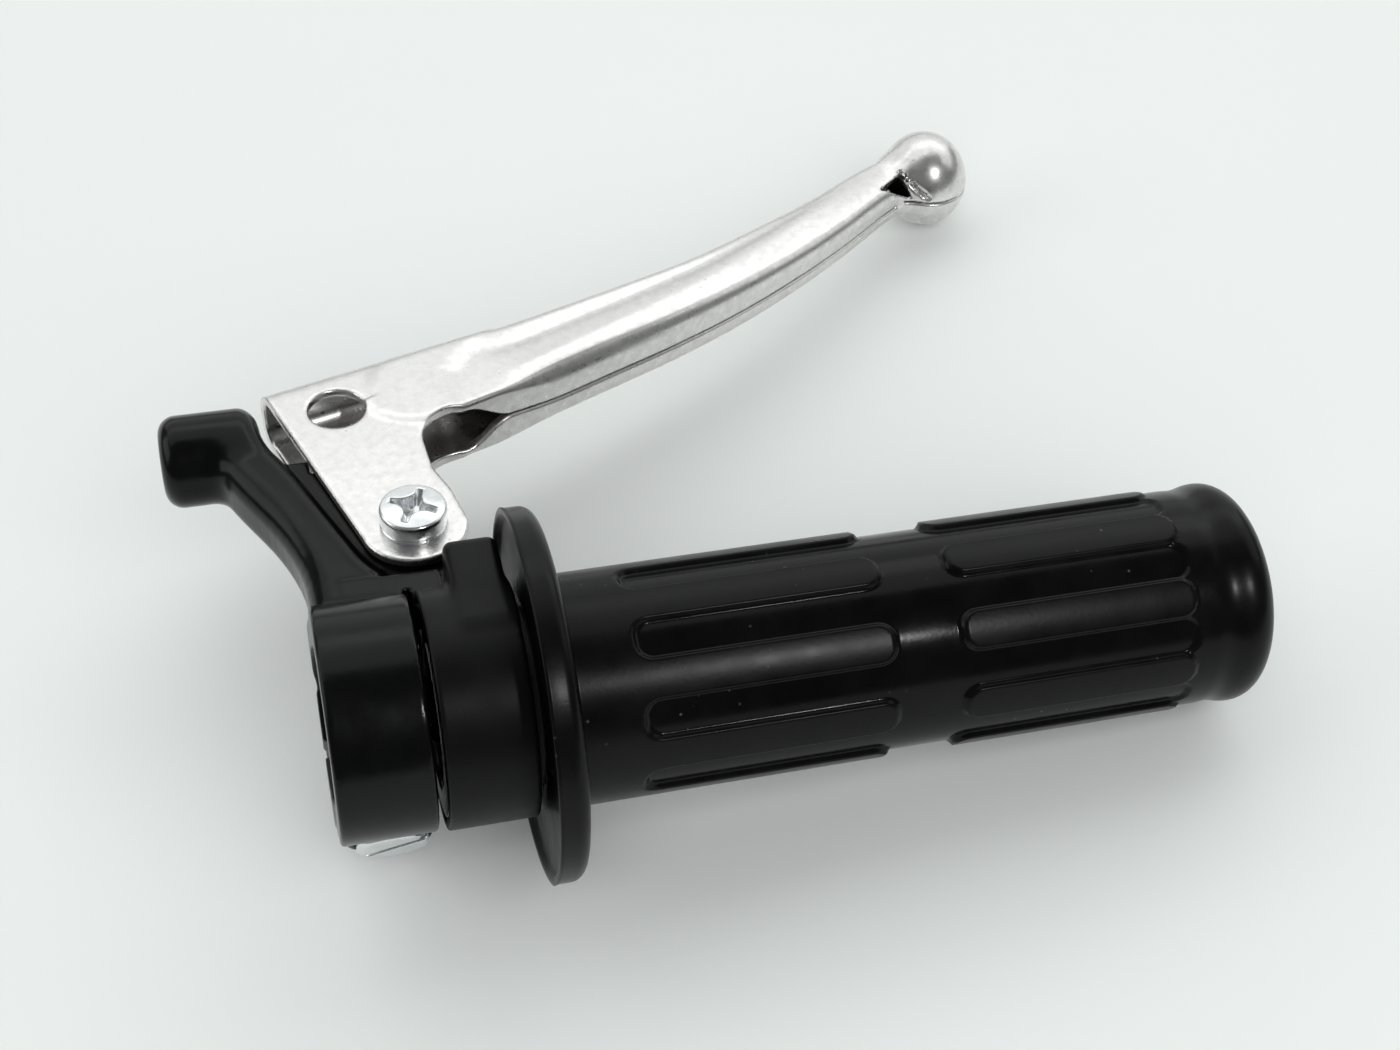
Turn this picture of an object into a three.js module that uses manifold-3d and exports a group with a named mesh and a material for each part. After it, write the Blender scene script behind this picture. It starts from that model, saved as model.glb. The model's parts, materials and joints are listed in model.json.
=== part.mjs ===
// Twist throttle with a brake lever, for the right-hand end of a 22 mm handlebar.
// Millimetres. +X runs along the handlebar to the grip's outer end, +Y points forward to the lever,
// and +Z is normal to the lever's two plates. The origin is the centre of the clamp's bore.
import * as THREE from 'three';
import { mergeVertices } from 'three/addons/utils/BufferGeometryUtils.js';
import Module from 'manifold-3d';

const wasm = await Module();
wasm.setup();

// ---- driving dimensions -------------------------------------------------------------------

// Handlebar and clamp band
const BORE_R = 11.15;
const CLAMP_R = 16.7;
const CLAMP_LEFT = -6.8;
const CLAMP_RIGHT = 6.7;
const CLAMP_EDGE = 0.8;
const SPLIT_GAP = 2.4;

// Saw slit that frees the clamp band from the ring beside it
const SLIT_RIGHT = 8.0;
const SLIT_END_Y = 16.6;

// Ring that carries the drum cover
const RING_R = 15.0;
const RING_RIGHT = 13.4;

// Clamp screw: its axis lies across the split, turned down from the horizontal
const CLAMP_TILT = THREE.MathUtils.degToRad(25);
const CLAMP_SCREW_REACH = 16.3;
const CLAMP_SCREW_X = 0.7;
const CLAMP_SCREW_R = 3.0;
const CLAMP_HEAD_R = 5.2;
const CLAMP_HEAD_HIGH = 3.6;
const CLAMP_LUG_BOTTOM = 21.0;
const CLAMP_LUG_ROUND_R = 6.6;
const CLAMP_HEAD_POCKET = 1.8;
const CLAMP_LUG_HEAD_SIDE = 11.4;
const CLAMP_LUG_NUT_SIDE = 8.0;
const CLAMP_NUT_FLATS = 10.0;
const CLAMP_NUT_THICK = 5.0;
const CLAMP_NUT_ROOM = -15.5;

// Lever pivot
const PIVOT = new THREE.Vector2(10.4, 30.7);
const PIVOT_SCREW_R = 2.5;
const PIVOT_HEAD_R = 5.0;
const PIVOT_HEAD_HIGH = 3.9;
const BUSH_R = 3.6;
const PIVOT_NUT_FLATS = 8.0;
const PIVOT_NUT_THICK = 4.0;
const PIVOT_WASHER_R = 5.0;
const PIVOT_WASHER_THICK = 1.2;

// Lever channel, folded from one sheet
const SHEET = 1.5;
const LEVER_TOP = 7.1;
const LEVER_HIGH = 11.0;
const LEVER_BOTTOM = LEVER_TOP - LEVER_HIGH;
const LEVER_MID = LEVER_TOP - LEVER_HIGH / 2;
const EAR_R = 8.0;
const NIPPLE_HOLE = new THREE.Vector2(2.3, 58.9);
const NIPPLE_HOLE_R = 4.5;
const BALL = new THREE.Vector3(118.5, 113.4, 0.4);
const BALL_R = 8.2;

// Arm that reaches forward from the clamp to the brake cable's stop
const ARM_LOW = -3.9;
const ARM_HIGH = 7.0;
const ARM_ROUND = 3.0;
const TONGUE_GAP = 0.3;
const BLOCK_RIGHT = 12.6;
const TONGUE_R = 7.3;
const STOP_CENTRE = new THREE.Vector2(57.3, LEVER_MID);
const STOP_R = 7.2;
const STOP_LEFT = -25.2;
const STOP_RIGHT = -10.4;
const CABLE_SEAT_R = 2.7;
const CABLE_SEAT_DEEP = 8.0;
const WIRE_R = 1.4;

// Drum cover
const COVER_R = 16.9;
const COVER_RIGHT = 20.6;
const COVER_WALL = 1.5;
const LOBE_LEFT = 12.6;
const LOBE_OUT = 17.0;
const LOBE_ROUND = 2.6;
const THROTTLE_CABLE = new THREE.Vector2(16.9, 12.4);

// Throttle tube and its cable drum
const TUBE_R = 12.6;
const TUBE_BORE_R = 11.35;
const TUBE_RIGHT = 124.6;
const DRUM_R = 14.9;
const DRUM_LEFT = 13.8;
const DRUM_RIGHT = 18.7;
const GROOVE_R = 13.5;
const GROOVE_HALF = 1.3;

// Rubber grip
const GRIP_BORE_R = 12.8;
const DISC_LEFT = 21.2;
const DISC_THICK = 4.4;
const DISC_R = 26.6;
const GRIP_R = 15.6;
const PAD_R = 16.5;
const PADS = 9;
const PAD_HALF_WIDE = 2.8;
const PAD_PHASE = 3;
const PAD_ROWS = [[35.4, 71.4], [81.2, 116.3]];
const FLARE_LEFT = 120.5;
const FLARE_R = 16.5;
const FLARE_ROUND = 4.0;
const GRIP_RIGHT = 129.3;
const GRIP_END_WALL = 3.5;

// Facets round a full turn
const ROUND = 48;
const SMALL_ROUND = 24;

// ---- looks --------------------------------------------------------------------------------

const finish = (color, roughness, metalness) =>
  new THREE.MeshStandardMaterial({ color, roughness, metalness });
const ENAMEL = finish(0x111113, 0.25, 0.3);
const COVER_PLASTIC = finish(0x1b1b1c, 0.6, 0);
const TUBE_PLASTIC = finish(0x2a2a2c, 0.5, 0);
const RUBBER = finish(0x161515, 0.45, 0);
const BRIGHT_STEEL = finish(0xd8d8d6, 0.15, 1);
const ZINC = finish(0xbfc4c8, 0.3, 1);

// ---- solids -------------------------------------------------------------------------------

// Volume inside a closed geometry, negative where its faces point in.
function signedVolume(positions, faces) {
  const corner = (index) => new THREE.Vector3().fromArray(positions, 3 * index);
  let sum = 0;
  for (let i = 0; i < faces.length; i += 3) {
    const [a, b, c] = [corner(faces[i]), corner(faces[i + 1]), corner(faces[i + 2])];
    sum += a.dot(b.cross(c)) / 6;
  }
  return sum;
}

// Turns a closed geometry into a solid for joining and cutting, with its faces pointing out.
function solid(geometry) {
  const bare = geometry.clone();
  bare.deleteAttribute('normal');
  bare.deleteAttribute('uv');
  const merged = mergeVertices(bare, 1e-4);
  const vertProperties = new Float32Array(merged.attributes.position.array);
  const triVerts = new Uint32Array(merged.index.array);
  if (signedVolume(vertProperties, triVerts) < 0) triVerts.reverse();
  return new wasm.Manifold(new wasm.Mesh({ numProp: 3, vertProperties, triVerts }));
}

function geometryOf(body) {
  const mesh = body.getMesh();
  const geometry = new THREE.BufferGeometry();
  geometry.setAttribute('position', new THREE.BufferAttribute(mesh.vertProperties, 3));
  geometry.setIndex(new THREE.BufferAttribute(mesh.triVerts, 1));
  geometry.computeVertexNormals();
  return geometry;
}

const join = (...bodies) => bodies.reduce((all, body) => all.add(body));
const cut = (body, ...tools) => tools.reduce((left, tool) => left.subtract(tool), body);

// Box between two corners.
function box(x0, x1, y0, y1, z0, z1) {
  const geometry = new THREE.BoxGeometry(x1 - x0, y1 - y0, z1 - z0);
  geometry.translate((x0 + x1) / 2, (y0 + y1) / 2, (z0 + z1) / 2);
  return solid(geometry);
}

// Turns a profile of [x, radius] points about the X axis. It closes on itself or ends on the axis.
function turned(profile, facets = ROUND) {
  const points = profile.map(([x, r]) => new THREE.Vector2(r, x));
  const geometry = new THREE.LatheGeometry(points, facets);
  geometry.rotateZ(-Math.PI / 2);
  return solid(geometry);
}

const rod = (x0, x1, r, facets = ROUND) => turned([[x0, 0], [x0, r], [x1, r], [x1, 0]], facets);

function ring(x0, x1, outer, inner, facets = ROUND) {
  return turned([[x0, inner], [x1, inner], [x1, outer], [x0, outer], [x0, inner]], facets);
}

// Moves a geometry that was made along X so that it runs along Z, at a point in plan.
function uprightGeometry(geometry, x, y) {
  geometry.rotateY(-Math.PI / 2);
  geometry.translate(x, y, 0);
  return geometry;
}

// Upright round bar between two heights, at a point in plan.
function post(x, y, z0, z1, r, facets = SMALL_ROUND) {
  const geometry = new THREE.CylinderGeometry(r, r, z1 - z0, facets);
  geometry.rotateX(Math.PI / 2);
  geometry.translate(x, y, (z0 + z1) / 2);
  return solid(geometry);
}

// Bar along Y, at a point in the XZ plane.
function forwardBar(x, z, y0, y1, r, facets = SMALL_ROUND) {
  const geometry = new THREE.CylinderGeometry(r, r, y1 - y0, facets);
  geometry.translate(x, (y0 + y1) / 2, z);
  return solid(geometry);
}

// Plate with a plan outline, between two heights, with its edges rounded by `round`.
function plate(outline, z0, z1, round = 0, steps = 3) {
  const geometry = new THREE.ExtrudeGeometry(outline, {
    depth: z1 - z0 - 2 * round,
    bevelEnabled: round > 0,
    bevelThickness: round,
    bevelSize: round,
    bevelOffset: -round,
    bevelSegments: steps,
    curveSegments: 8,
  });
  geometry.translate(0, 0, z0 + round);
  return solid(geometry);
}

const outlineOf = (points) => new THREE.Shape(points.map(([x, y]) => new THREE.Vector2(x, y)));

// Skin of rings with the same number of points, closed at both ends.
function loft(rings) {
  const count = rings[0].length;
  const vertices = rings.flat().flatMap((point) => point.toArray());
  const faces = [];
  for (let i = 0; i + 1 < rings.length; i += 1) {
    for (let k = 0; k < count; k += 1) {
      const next = (k + 1) % count;
      const a = i * count + k;
      const b = i * count + next;
      faces.push(a, b, a + count, b, b + count, a + count);
    }
  }
  const last = (rings.length - 1) * count;
  for (let k = 1; k + 1 < count; k += 1) {
    faces.push(0, k + 1, k);
    faces.push(last, last + k, last + k + 1);
  }
  const geometry = new THREE.BufferGeometry();
  geometry.setAttribute('position', new THREE.Float32BufferAttribute(vertices, 3));
  geometry.setIndex(faces);
  return solid(geometry);
}

// ---- clamp screw's own directions ----------------------------------------------------------

// The screw's frame: its X runs along the screw from nut to head, its Z away from the bar's axis.
function inScrewFrame(body) {
  const headWay = new THREE.Vector3(0, -Math.cos(CLAMP_TILT), -Math.sin(CLAMP_TILT));
  const outWay = new THREE.Vector3(0, Math.sin(CLAMP_TILT), -Math.cos(CLAMP_TILT));
  const sideWay = new THREE.Vector3().crossVectors(outWay, headWay);
  const frame = new THREE.Matrix4().makeBasis(headWay, sideWay, outWay);
  return body.transform(frame.elements);
}

// The screw's own Y runs along the bar, towards the left.
const ONTO_SCREW = [0, -CLAMP_SCREW_X, CLAMP_SCREW_REACH];
const alongScrew = (x0, x1, r, facets) => rod(x0, x1, r, facets).translate(ONTO_SCREW);

function hexRadius(flats) {
  return flats / Math.sqrt(3);
}

// ---- pieces -------------------------------------------------------------------------------

// Two lugs across the split, rounded about the screw, with a wall round the screw's head.
function clampLugs() {
  const outline = [
    [-CLAMP_LUG_NUT_SIDE, 6],
    [CLAMP_LUG_HEAD_SIDE, 6],
    [CLAMP_LUG_HEAD_SIDE, CLAMP_LUG_BOTTOM - 2],
    [CLAMP_LUG_HEAD_SIDE - 2, CLAMP_LUG_BOTTOM],
    [2 - CLAMP_LUG_NUT_SIDE, CLAMP_LUG_BOTTOM],
    [-CLAMP_LUG_NUT_SIDE, CLAMP_LUG_BOTTOM - 2],
  ];
  const geometry = new THREE.ExtrudeGeometry(outlineOf(outline), {
    depth: CLAMP_RIGHT - CLAMP_LEFT - 0.4,
    bevelEnabled: false,
  });
  geometry.rotateX(Math.PI / 2);
  geometry.translate(0, (CLAMP_RIGHT - CLAMP_LEFT - 0.4) / 2, 0);
  const head = CLAMP_LUG_HEAD_SIDE + CLAMP_HEAD_POCKET;
  const round = alongScrew(-CLAMP_LUG_NUT_SIDE, head, CLAMP_LUG_ROUND_R, ROUND);
  const width = box(-30, 30, -CLAMP_RIGHT, -CLAMP_LEFT, 0, 30);
  return inScrewFrame(join(solid(geometry), round.intersect(width)));
}

function clampBand() {
  return turned([
    [CLAMP_LEFT, BORE_R],
    [CLAMP_RIGHT, BORE_R],
    [CLAMP_RIGHT, CLAMP_R],
    [CLAMP_LEFT + CLAMP_EDGE, CLAMP_R],
    [CLAMP_LEFT, CLAMP_R - CLAMP_EDGE],
    [CLAMP_LEFT, BORE_R],
  ]);
}

function armOutline() {
  return outlineOf([
    [CLAMP_LEFT, 6], [CLAMP_RIGHT, 6], [CLAMP_RIGHT, 21.8], [3.4, 25.2], [0.3, 33.2],
    [-6.0, 49.5], [STOP_RIGHT, 57.5], [STOP_RIGHT, 60.5], [-18.8, 60.5], [-18.8, 53.5],
    [-16.8, 49], [-9.6, 34.6], [CLAMP_LEFT, 24.5],
  ]);
}

// Tongue between the lever's plates, with the pivot's hole, on the block beside the slit. A web
// joins it to the arm.
function tongue() {
  const root = outlineOf([
    [2.5, 14], [BLOCK_RIGHT, 14], [PIVOT.x + TONGUE_R, PIVOT.y], [PIVOT.x - TONGUE_R, PIVOT.y],
  ]);
  const web = outlineOf([
    [0, 18], [8, 20], [5.6, 36], [3, 46.8], [-3.2, 46.8], [-3.2, 49.5], [-6.5, 49.5], [-3.4, 36],
  ]);
  const low = LEVER_BOTTOM + SHEET + TONGUE_GAP;
  const high = LEVER_TOP - SHEET - TONGUE_GAP;
  const block = outlineOf([[3, 8], [BLOCK_RIGHT, 8], [BLOCK_RIGHT, 21.2], [3, 21.2]]);
  return cut(
    join(
      plate(root, low, high),
      plate(web, low, high),
      post(PIVOT.x, PIVOT.y, low, high, TONGUE_R),
      plate(block, -5, ARM_HIGH, 0.8, 2),
    ),
    post(PIVOT.x, PIVOT.y, low - 1, high + 1, BUSH_R + 0.1),
  );
}

function cableStop() {
  const round = 2.6;
  const barrel = turned([
    [STOP_LEFT, 0], [STOP_LEFT, STOP_R - round], [STOP_LEFT + 0.8, STOP_R - 0.8],
    [STOP_LEFT + round, STOP_R], [STOP_RIGHT - round, STOP_R], [STOP_RIGHT - 0.8, STOP_R - 0.8],
    [STOP_RIGHT, STOP_R - round], [STOP_RIGHT, 0],
  ], SMALL_ROUND);
  return barrel.translate([0, STOP_CENTRE.x, STOP_CENTRE.y]);
}

function clampHousing() {
  const ringPiece = ring(SLIT_RIGHT - 2, RING_RIGHT, RING_R, BORE_R);
  const arm = plate(armOutline(), ARM_LOW, ARM_HIGH, ARM_ROUND);
  const whole = join(clampBand(), ringPiece, clampLugs(), arm, tongue(), cableStop());
  const slitMid = (CLAMP_RIGHT + SLIT_RIGHT) / 2;
  const nutRoomR = hexRadius(CLAMP_NUT_FLATS) + 0.5;
  const cableSeat = rod(STOP_LEFT - 1, STOP_LEFT + CABLE_SEAT_DEEP, CABLE_SEAT_R, SMALL_ROUND);
  const wireHole = rod(STOP_LEFT - 1, STOP_RIGHT + 8, WIRE_R, SMALL_ROUND);
  return cut(
    whole,
    rod(CLAMP_LEFT - 1, RING_RIGHT + 1, BORE_R),
    box(CLAMP_RIGHT, SLIT_RIGHT, -30, SLIT_END_Y, -30, 30),
    post(slitMid, SLIT_END_Y, -30, 30, (SLIT_RIGHT - CLAMP_RIGHT) / 2, 12),
    inScrewFrame(box(-SPLIT_GAP / 2, SPLIT_GAP / 2, -CLAMP_RIGHT - 1, -CLAMP_LEFT + 1, 8, 30)),
    inScrewFrame(alongScrew(CLAMP_NUT_ROOM, 30, CLAMP_SCREW_R + 0.3, SMALL_ROUND)),
    inScrewFrame(alongScrew(CLAMP_LUG_HEAD_SIDE - 0.4, 30, CLAMP_HEAD_R + 0.5, SMALL_ROUND)),
    inScrewFrame(alongScrew(CLAMP_NUT_ROOM, 0.4 - CLAMP_LUG_NUT_SIDE, nutRoomR, SMALL_ROUND)),
    cableSeat.translate([0, STOP_CENTRE.x, STOP_CENTRE.y]),
    wireHole.translate([0, STOP_CENTRE.x, STOP_CENTRE.y]),
  );
}

// Outline of the drum cover's square corner, seen along the bar.
function lobeOutline(out, round) {
  const shape = new THREE.Shape();
  shape.moveTo(0, 0);
  shape.lineTo(out, 0);
  shape.lineTo(out, out - round);
  shape.absarc(out - round, out - round, round, 0, Math.PI / 2, false);
  shape.lineTo(0, out);
  return shape;
}

// Extrudes an outline of [y, z] along X.
function alongBar(shape, x0, x1) {
  const geometry = new THREE.ExtrudeGeometry(shape, {
    depth: x1 - x0,
    bevelEnabled: false,
    curveSegments: 6,
  });
  geometry.rotateX(Math.PI / 2);
  geometry.rotateZ(Math.PI / 2);
  geometry.translate(x0, 0, 0);
  return solid(geometry);
}

function drumCover() {
  const shell = rod(SLIT_RIGHT, COVER_RIGHT, COVER_R);
  const lobe = alongBar(lobeOutline(LOBE_OUT, LOBE_ROUND), LOBE_LEFT, COVER_RIGHT - 0.4);
  const seat = LOBE_OUT - 6;
  return cut(
    join(shell, lobe),
    rod(SLIT_RIGHT - 1, COVER_RIGHT - COVER_WALL, COVER_R - COVER_WALL),
    rod(0, COVER_RIGHT + 1, TUBE_R + 0.35),
    box(SLIT_RIGHT - 1, BLOCK_RIGHT + 0.3, 7.5, 40, -5.3, ARM_HIGH + 0.3),
    box(SLIT_RIGHT - 1, BLOCK_RIGHT + 2, 7.5, 40, LEVER_BOTTOM + SHEET, LEVER_TOP - SHEET),
    forwardBar(THROTTLE_CABLE.x, THROTTLE_CABLE.y, 0, 40, WIRE_R),
    forwardBar(THROTTLE_CABLE.x, THROTTLE_CABLE.y, seat, 40, CABLE_SEAT_R),
  );
}

function throttleTube() {
  const groove = (DRUM_LEFT + DRUM_RIGHT) / 2;
  const body = turned([
    [DRUM_LEFT, TUBE_BORE_R],
    [TUBE_RIGHT, TUBE_BORE_R],
    [TUBE_RIGHT, TUBE_R],
    [DRUM_RIGHT, TUBE_R],
    [DRUM_RIGHT, DRUM_R],
    [groove + GROOVE_HALF, DRUM_R],
    [groove + GROOVE_HALF, GROOVE_R],
    [groove - GROOVE_HALF, GROOVE_R],
    [groove - GROOVE_HALF, DRUM_R],
    [DRUM_LEFT, DRUM_R],
    [DRUM_LEFT, TUBE_BORE_R],
  ]);
  // Pocket for the throttle cable's end, open to the drum's groove and its left face.
  const pocket = box(DRUM_LEFT - 1, groove + GROOVE_HALF, -14.9, -10, 3, 8.4);
  return cut(body, cut(pocket, rod(DRUM_LEFT - 2, DRUM_RIGHT, TUBE_R)));
}

// Raised tread pads, in two rows round the grip.
function treadPads() {
  const pads = [];
  for (const [x0, x1] of PAD_ROWS) {
    for (let i = 0; i < PADS; i += 1) {
      const pad = box(x0, x1, -PAD_HALF_WIDE, PAD_HALF_WIDE, GRIP_R - 1, PAD_R);
      pads.push(pad.rotate([360 * i / PADS + PAD_PHASE, 0, 0]));
    }
  }
  return pads;
}

function gripRubber() {
  const flareMid = GRIP_RIGHT - FLARE_ROUND;
  const profile = [
    [DISC_LEFT, GRIP_BORE_R],
    [GRIP_RIGHT - GRIP_END_WALL, GRIP_BORE_R],
    [GRIP_RIGHT - GRIP_END_WALL, 0],
    [GRIP_RIGHT, 0],
    [GRIP_RIGHT, FLARE_R - FLARE_ROUND],
  ];
  for (let i = 1; i <= 4; i += 1) {
    const turn = (i / 4) * Math.PI / 2;
    profile.push([
      flareMid + FLARE_ROUND * Math.cos(turn),
      FLARE_R - FLARE_ROUND + FLARE_ROUND * Math.sin(turn),
    ]);
  }
  profile.push(
    [FLARE_LEFT, GRIP_R],
    [DISC_LEFT + DISC_THICK + 0.6, GRIP_R],
    [DISC_LEFT + DISC_THICK, GRIP_R + 0.6],
    [DISC_LEFT + DISC_THICK, DISC_R - 2.2],
    [DISC_LEFT + DISC_THICK - 0.8, DISC_R - 0.6],
    [DISC_LEFT + DISC_THICK - 2.4, DISC_R],
    [DISC_LEFT + 0.4, DISC_R],
    [DISC_LEFT, DISC_R - 0.4],
    [DISC_LEFT, GRIP_BORE_R],
  );
  return join(turned(profile, ROUND), ...treadPads());
}

// The lever's blade: centre line in plan, with its width and height at each station.
const BLADE = [
  { x: 24.0, y: 66.0, wide: 17.5, high: 11.0, mid: LEVER_MID },
  { x: 34.0, y: 69.5, wide: 16.5, high: 11.0, mid: LEVER_MID },
  { x: 46.0, y: 74.2, wide: 15.4, high: 11.0, mid: LEVER_MID },
  { x: 58.0, y: 79.2, wide: 14.6, high: 10.8, mid: 1.5 },
  { x: 70.0, y: 85.0, wide: 13.5, high: 10.4, mid: 1.3 },
  { x: 82.0, y: 92.2, wide: 12.8, high: 9.8, mid: 1.0 },
  { x: 94.0, y: 100.1, wide: 11.6, high: 9.2, mid: 0.8 },
  { x: 105.0, y: 108.2, wide: 10.4, high: 8.6, mid: 0.6 },
  { x: 112.0, y: 112.6, wide: 9.8, high: 8.4, mid: 0.5 },
];

// Rounded rectangular ring at each station, shrunk all round by `inset`.
function bladeRings(inset, corner) {
  const path = new THREE.CatmullRomCurve3(BLADE.map(({ x, y, mid }) => new THREE.Vector3(x, y, mid)));
  const steps = 2 * (BLADE.length - 1);
  const rings = [];
  for (let i = 0; i <= steps; i += 1) {
    const at = i / steps;
    const station = at * (BLADE.length - 1);
    const low = BLADE[Math.floor(station)];
    const high = BLADE[Math.min(Math.ceil(station), BLADE.length - 1)];
    const part = station - Math.floor(station);
    const wide = THREE.MathUtils.lerp(low.wide, high.wide, part) / 2 - inset;
    const tall = THREE.MathUtils.lerp(low.high, high.high, part) / 2 - inset;
    const centre = path.getPoint(at);
    const ahead = path.getTangent(at);
    const side = new THREE.Vector3(-ahead.y, ahead.x, 0).normalize();
    const r = Math.min(corner, wide * 0.95, tall * 0.95);
    const section = [];
    for (const [sw, st, start] of [[1, 1, 0], [-1, 1, 1], [-1, -1, 2], [1, -1, 3]]) {
      for (let k = 0; k <= 3; k += 1) {
        const turn = (start + k / 3) * Math.PI / 2;
        const w = sw * (wide - r) + r * Math.cos(turn);
        const t = st * (tall - r) + r * Math.sin(turn);
        section.push(new THREE.Vector3(centre.x + side.x * w, centre.y + side.y * w, centre.z + t));
      }
    }
    rings.push(section);
  }
  return rings;
}

// Plan outline of the folded channel at the lever's root: two ears at the pivot, a rounded
// notch behind the blade's start, and the web along the front.
function channelOutline() {
  const shape = new THREE.Shape();
  shape.moveTo(-9.2, 66.6);
  shape.lineTo(PIVOT.x - EAR_R + 0.5, PIVOT.y - 2.6);
  shape.absarc(PIVOT.x, PIVOT.y, EAR_R, Math.PI * 1.08, Math.PI * 1.98, false);
  shape.lineTo(14.9, 42.6);
  shape.lineTo(14.4, 48.4);
  shape.absarc(21.2, 49.2, 6.6, Math.PI * 0.95, Math.PI * 0.35, true);
  shape.lineTo(30, 56.5);
  shape.lineTo(36, 60.5);
  shape.lineTo(36, 78.0);
  shape.lineTo(21.3, 75.1);
  shape.lineTo(-9.2, 66.6);
  return shape;
}

function brakeLever() {
  const outline = channelOutline();
  const channel = plate(outline, LEVER_BOTTOM, LEVER_TOP);
  const hollow = plate(outline, LEVER_BOTTOM + SHEET, LEVER_TOP - SHEET).translate([0.45, -SHEET, 0]);
  const blade = loft(bladeRings(0, 3.2));
  const bladeHollow = loft(bladeRings(SHEET, 2));
  const ball = solid(new THREE.SphereGeometry(BALL_R, 28, 18).translate(BALL.x, BALL.y, BALL.z));
  const mouth = [];
  for (let i = 0; i + 3 < BLADE.length; i += 1) {
    const a = BLADE[i];
    const b = BLADE[i + 1];
    mouth.push(loft([a, b].map(({ x, y, wide, mid }) => [
      new THREE.Vector3(x + 0.35 * wide, y - 0.75 * wide, mid - 1.0),
      new THREE.Vector3(x, y, mid - 1.0),
      new THREE.Vector3(x, y, mid + 1.0),
      new THREE.Vector3(x + 0.35 * wide, y - 0.75 * wide, mid + 1.0),
    ])));
  }
  const earHoles = post(PIVOT.x, PIVOT.y, LEVER_BOTTOM - 1, LEVER_TOP + 1, PIVOT_SCREW_R + 0.15);
  const nippleHole = post(NIPPLE_HOLE.x, NIPPLE_HOLE.y, LEVER_BOTTOM - 1, LEVER_TOP + 1, NIPPLE_HOLE_R);
  const earGap = post(PIVOT.x, PIVOT.y, LEVER_BOTTOM + SHEET, LEVER_TOP - SHEET, EAR_R + 1);
  const shell = cut(join(channel, blade), hollow, earGap, bladeHollow, ...mouth);
  return cut(join(shell, ball), earHoles, nippleHole);
}

// Pan head with a cross recess, on an upright shank.
function pivotScrew() {
  const seat = LEVER_TOP + 0.05;
  const tip = LEVER_BOTTOM - PIVOT_WASHER_THICK - PIVOT_NUT_THICK - 1.6;
  const head = solid(uprightGeometry(new THREE.LatheGeometry([
    new THREE.Vector2(0, 0),
    new THREE.Vector2(PIVOT_HEAD_R, 0),
    new THREE.Vector2(PIVOT_HEAD_R, PIVOT_HEAD_HIGH - 1.4),
    new THREE.Vector2(PIVOT_HEAD_R - 0.5, PIVOT_HEAD_HIGH - 0.6),
    new THREE.Vector2(PIVOT_HEAD_R - 1.6, PIVOT_HEAD_HIGH - 0.15),
    new THREE.Vector2(0, PIVOT_HEAD_HIGH),
  ], ROUND).rotateZ(-Math.PI / 2), PIVOT.x, PIVOT.y).translate(0, 0, seat));
  const shank = post(PIVOT.x, PIVOT.y, tip, seat + 1, PIVOT_SCREW_R);
  const arm = 2.7;
  const slotHalf = 0.55;
  const floor = seat + PIVOT_HEAD_HIGH - 1.9;
  const cross = [-28, 62].map((angle) => (
    box(-arm, arm, -slotHalf, slotHalf, 0, 4).rotate([0, 0, angle]).translate([PIVOT.x, PIVOT.y, floor])
  ));
  return cut(join(head, shank), ...cross);
}

function hexNut(flats, thick, holeR) {
  const body = rod(-thick / 2, thick / 2, hexRadius(flats), 6);
  return cut(body, rod(-thick, thick, holeR, SMALL_ROUND));
}

function upright(body, x, y, z) {
  return body.rotate([0, -90, 0]).translate([x, y, z]);
}

function pivotBush() {
  const half = LEVER_HIGH / 2 - SHEET - 0.1;
  return upright(ring(-half, half, BUSH_R, PIVOT_SCREW_R + 0.1, SMALL_ROUND), PIVOT.x, PIVOT.y, LEVER_MID);
}

function pivotWasher() {
  const centre = LEVER_BOTTOM - 0.05 - PIVOT_WASHER_THICK / 2;
  const half = PIVOT_WASHER_THICK / 2;
  const piece = ring(-half, half, PIVOT_WASHER_R, PIVOT_SCREW_R + 0.2, SMALL_ROUND);
  return upright(piece, PIVOT.x, PIVOT.y, centre);
}

function pivotNut() {
  const centre = LEVER_BOTTOM - PIVOT_WASHER_THICK - 0.1 - PIVOT_NUT_THICK / 2;
  return upright(hexNut(PIVOT_NUT_FLATS, PIVOT_NUT_THICK, PIVOT_SCREW_R + 0.05), PIVOT.x, PIVOT.y, centre);
}

// Slotted cheese-head screw across the clamp's split.
function clampScrew() {
  const seat = CLAMP_LUG_HEAD_SIDE - 0.3;
  const tip = -CLAMP_LUG_NUT_SIDE - CLAMP_NUT_THICK - 1.5;
  const head = turned([
    [seat, 0], [seat + CLAMP_HEAD_HIGH, 0], [seat + CLAMP_HEAD_HIGH, CLAMP_HEAD_R - 0.6],
    [seat + CLAMP_HEAD_HIGH - 0.6, CLAMP_HEAD_R], [seat, CLAMP_HEAD_R], [seat, 0],
  ], SMALL_ROUND).translate(ONTO_SCREW);
  const shank = alongScrew(tip, seat + 1, CLAMP_SCREW_R, SMALL_ROUND);
  const slot = box(seat + CLAMP_HEAD_HIGH - 1.5, seat + CLAMP_HEAD_HIGH + 1, -8, 8, -0.65, 0.65)
    .rotate([30, 0, 0])
    .translate(ONTO_SCREW);
  return inScrewFrame(cut(join(head, shank), slot));
}

function clampNut() {
  const centre = -CLAMP_LUG_NUT_SIDE + 0.3 - CLAMP_NUT_THICK / 2;
  const piece = hexNut(CLAMP_NUT_FLATS, CLAMP_NUT_THICK, CLAMP_SCREW_R + 0.05);
  return inScrewFrame(piece.translate([centre, -CLAMP_SCREW_X, CLAMP_SCREW_REACH]));
}

// ---- assembly -----------------------------------------------------------------------------

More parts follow.
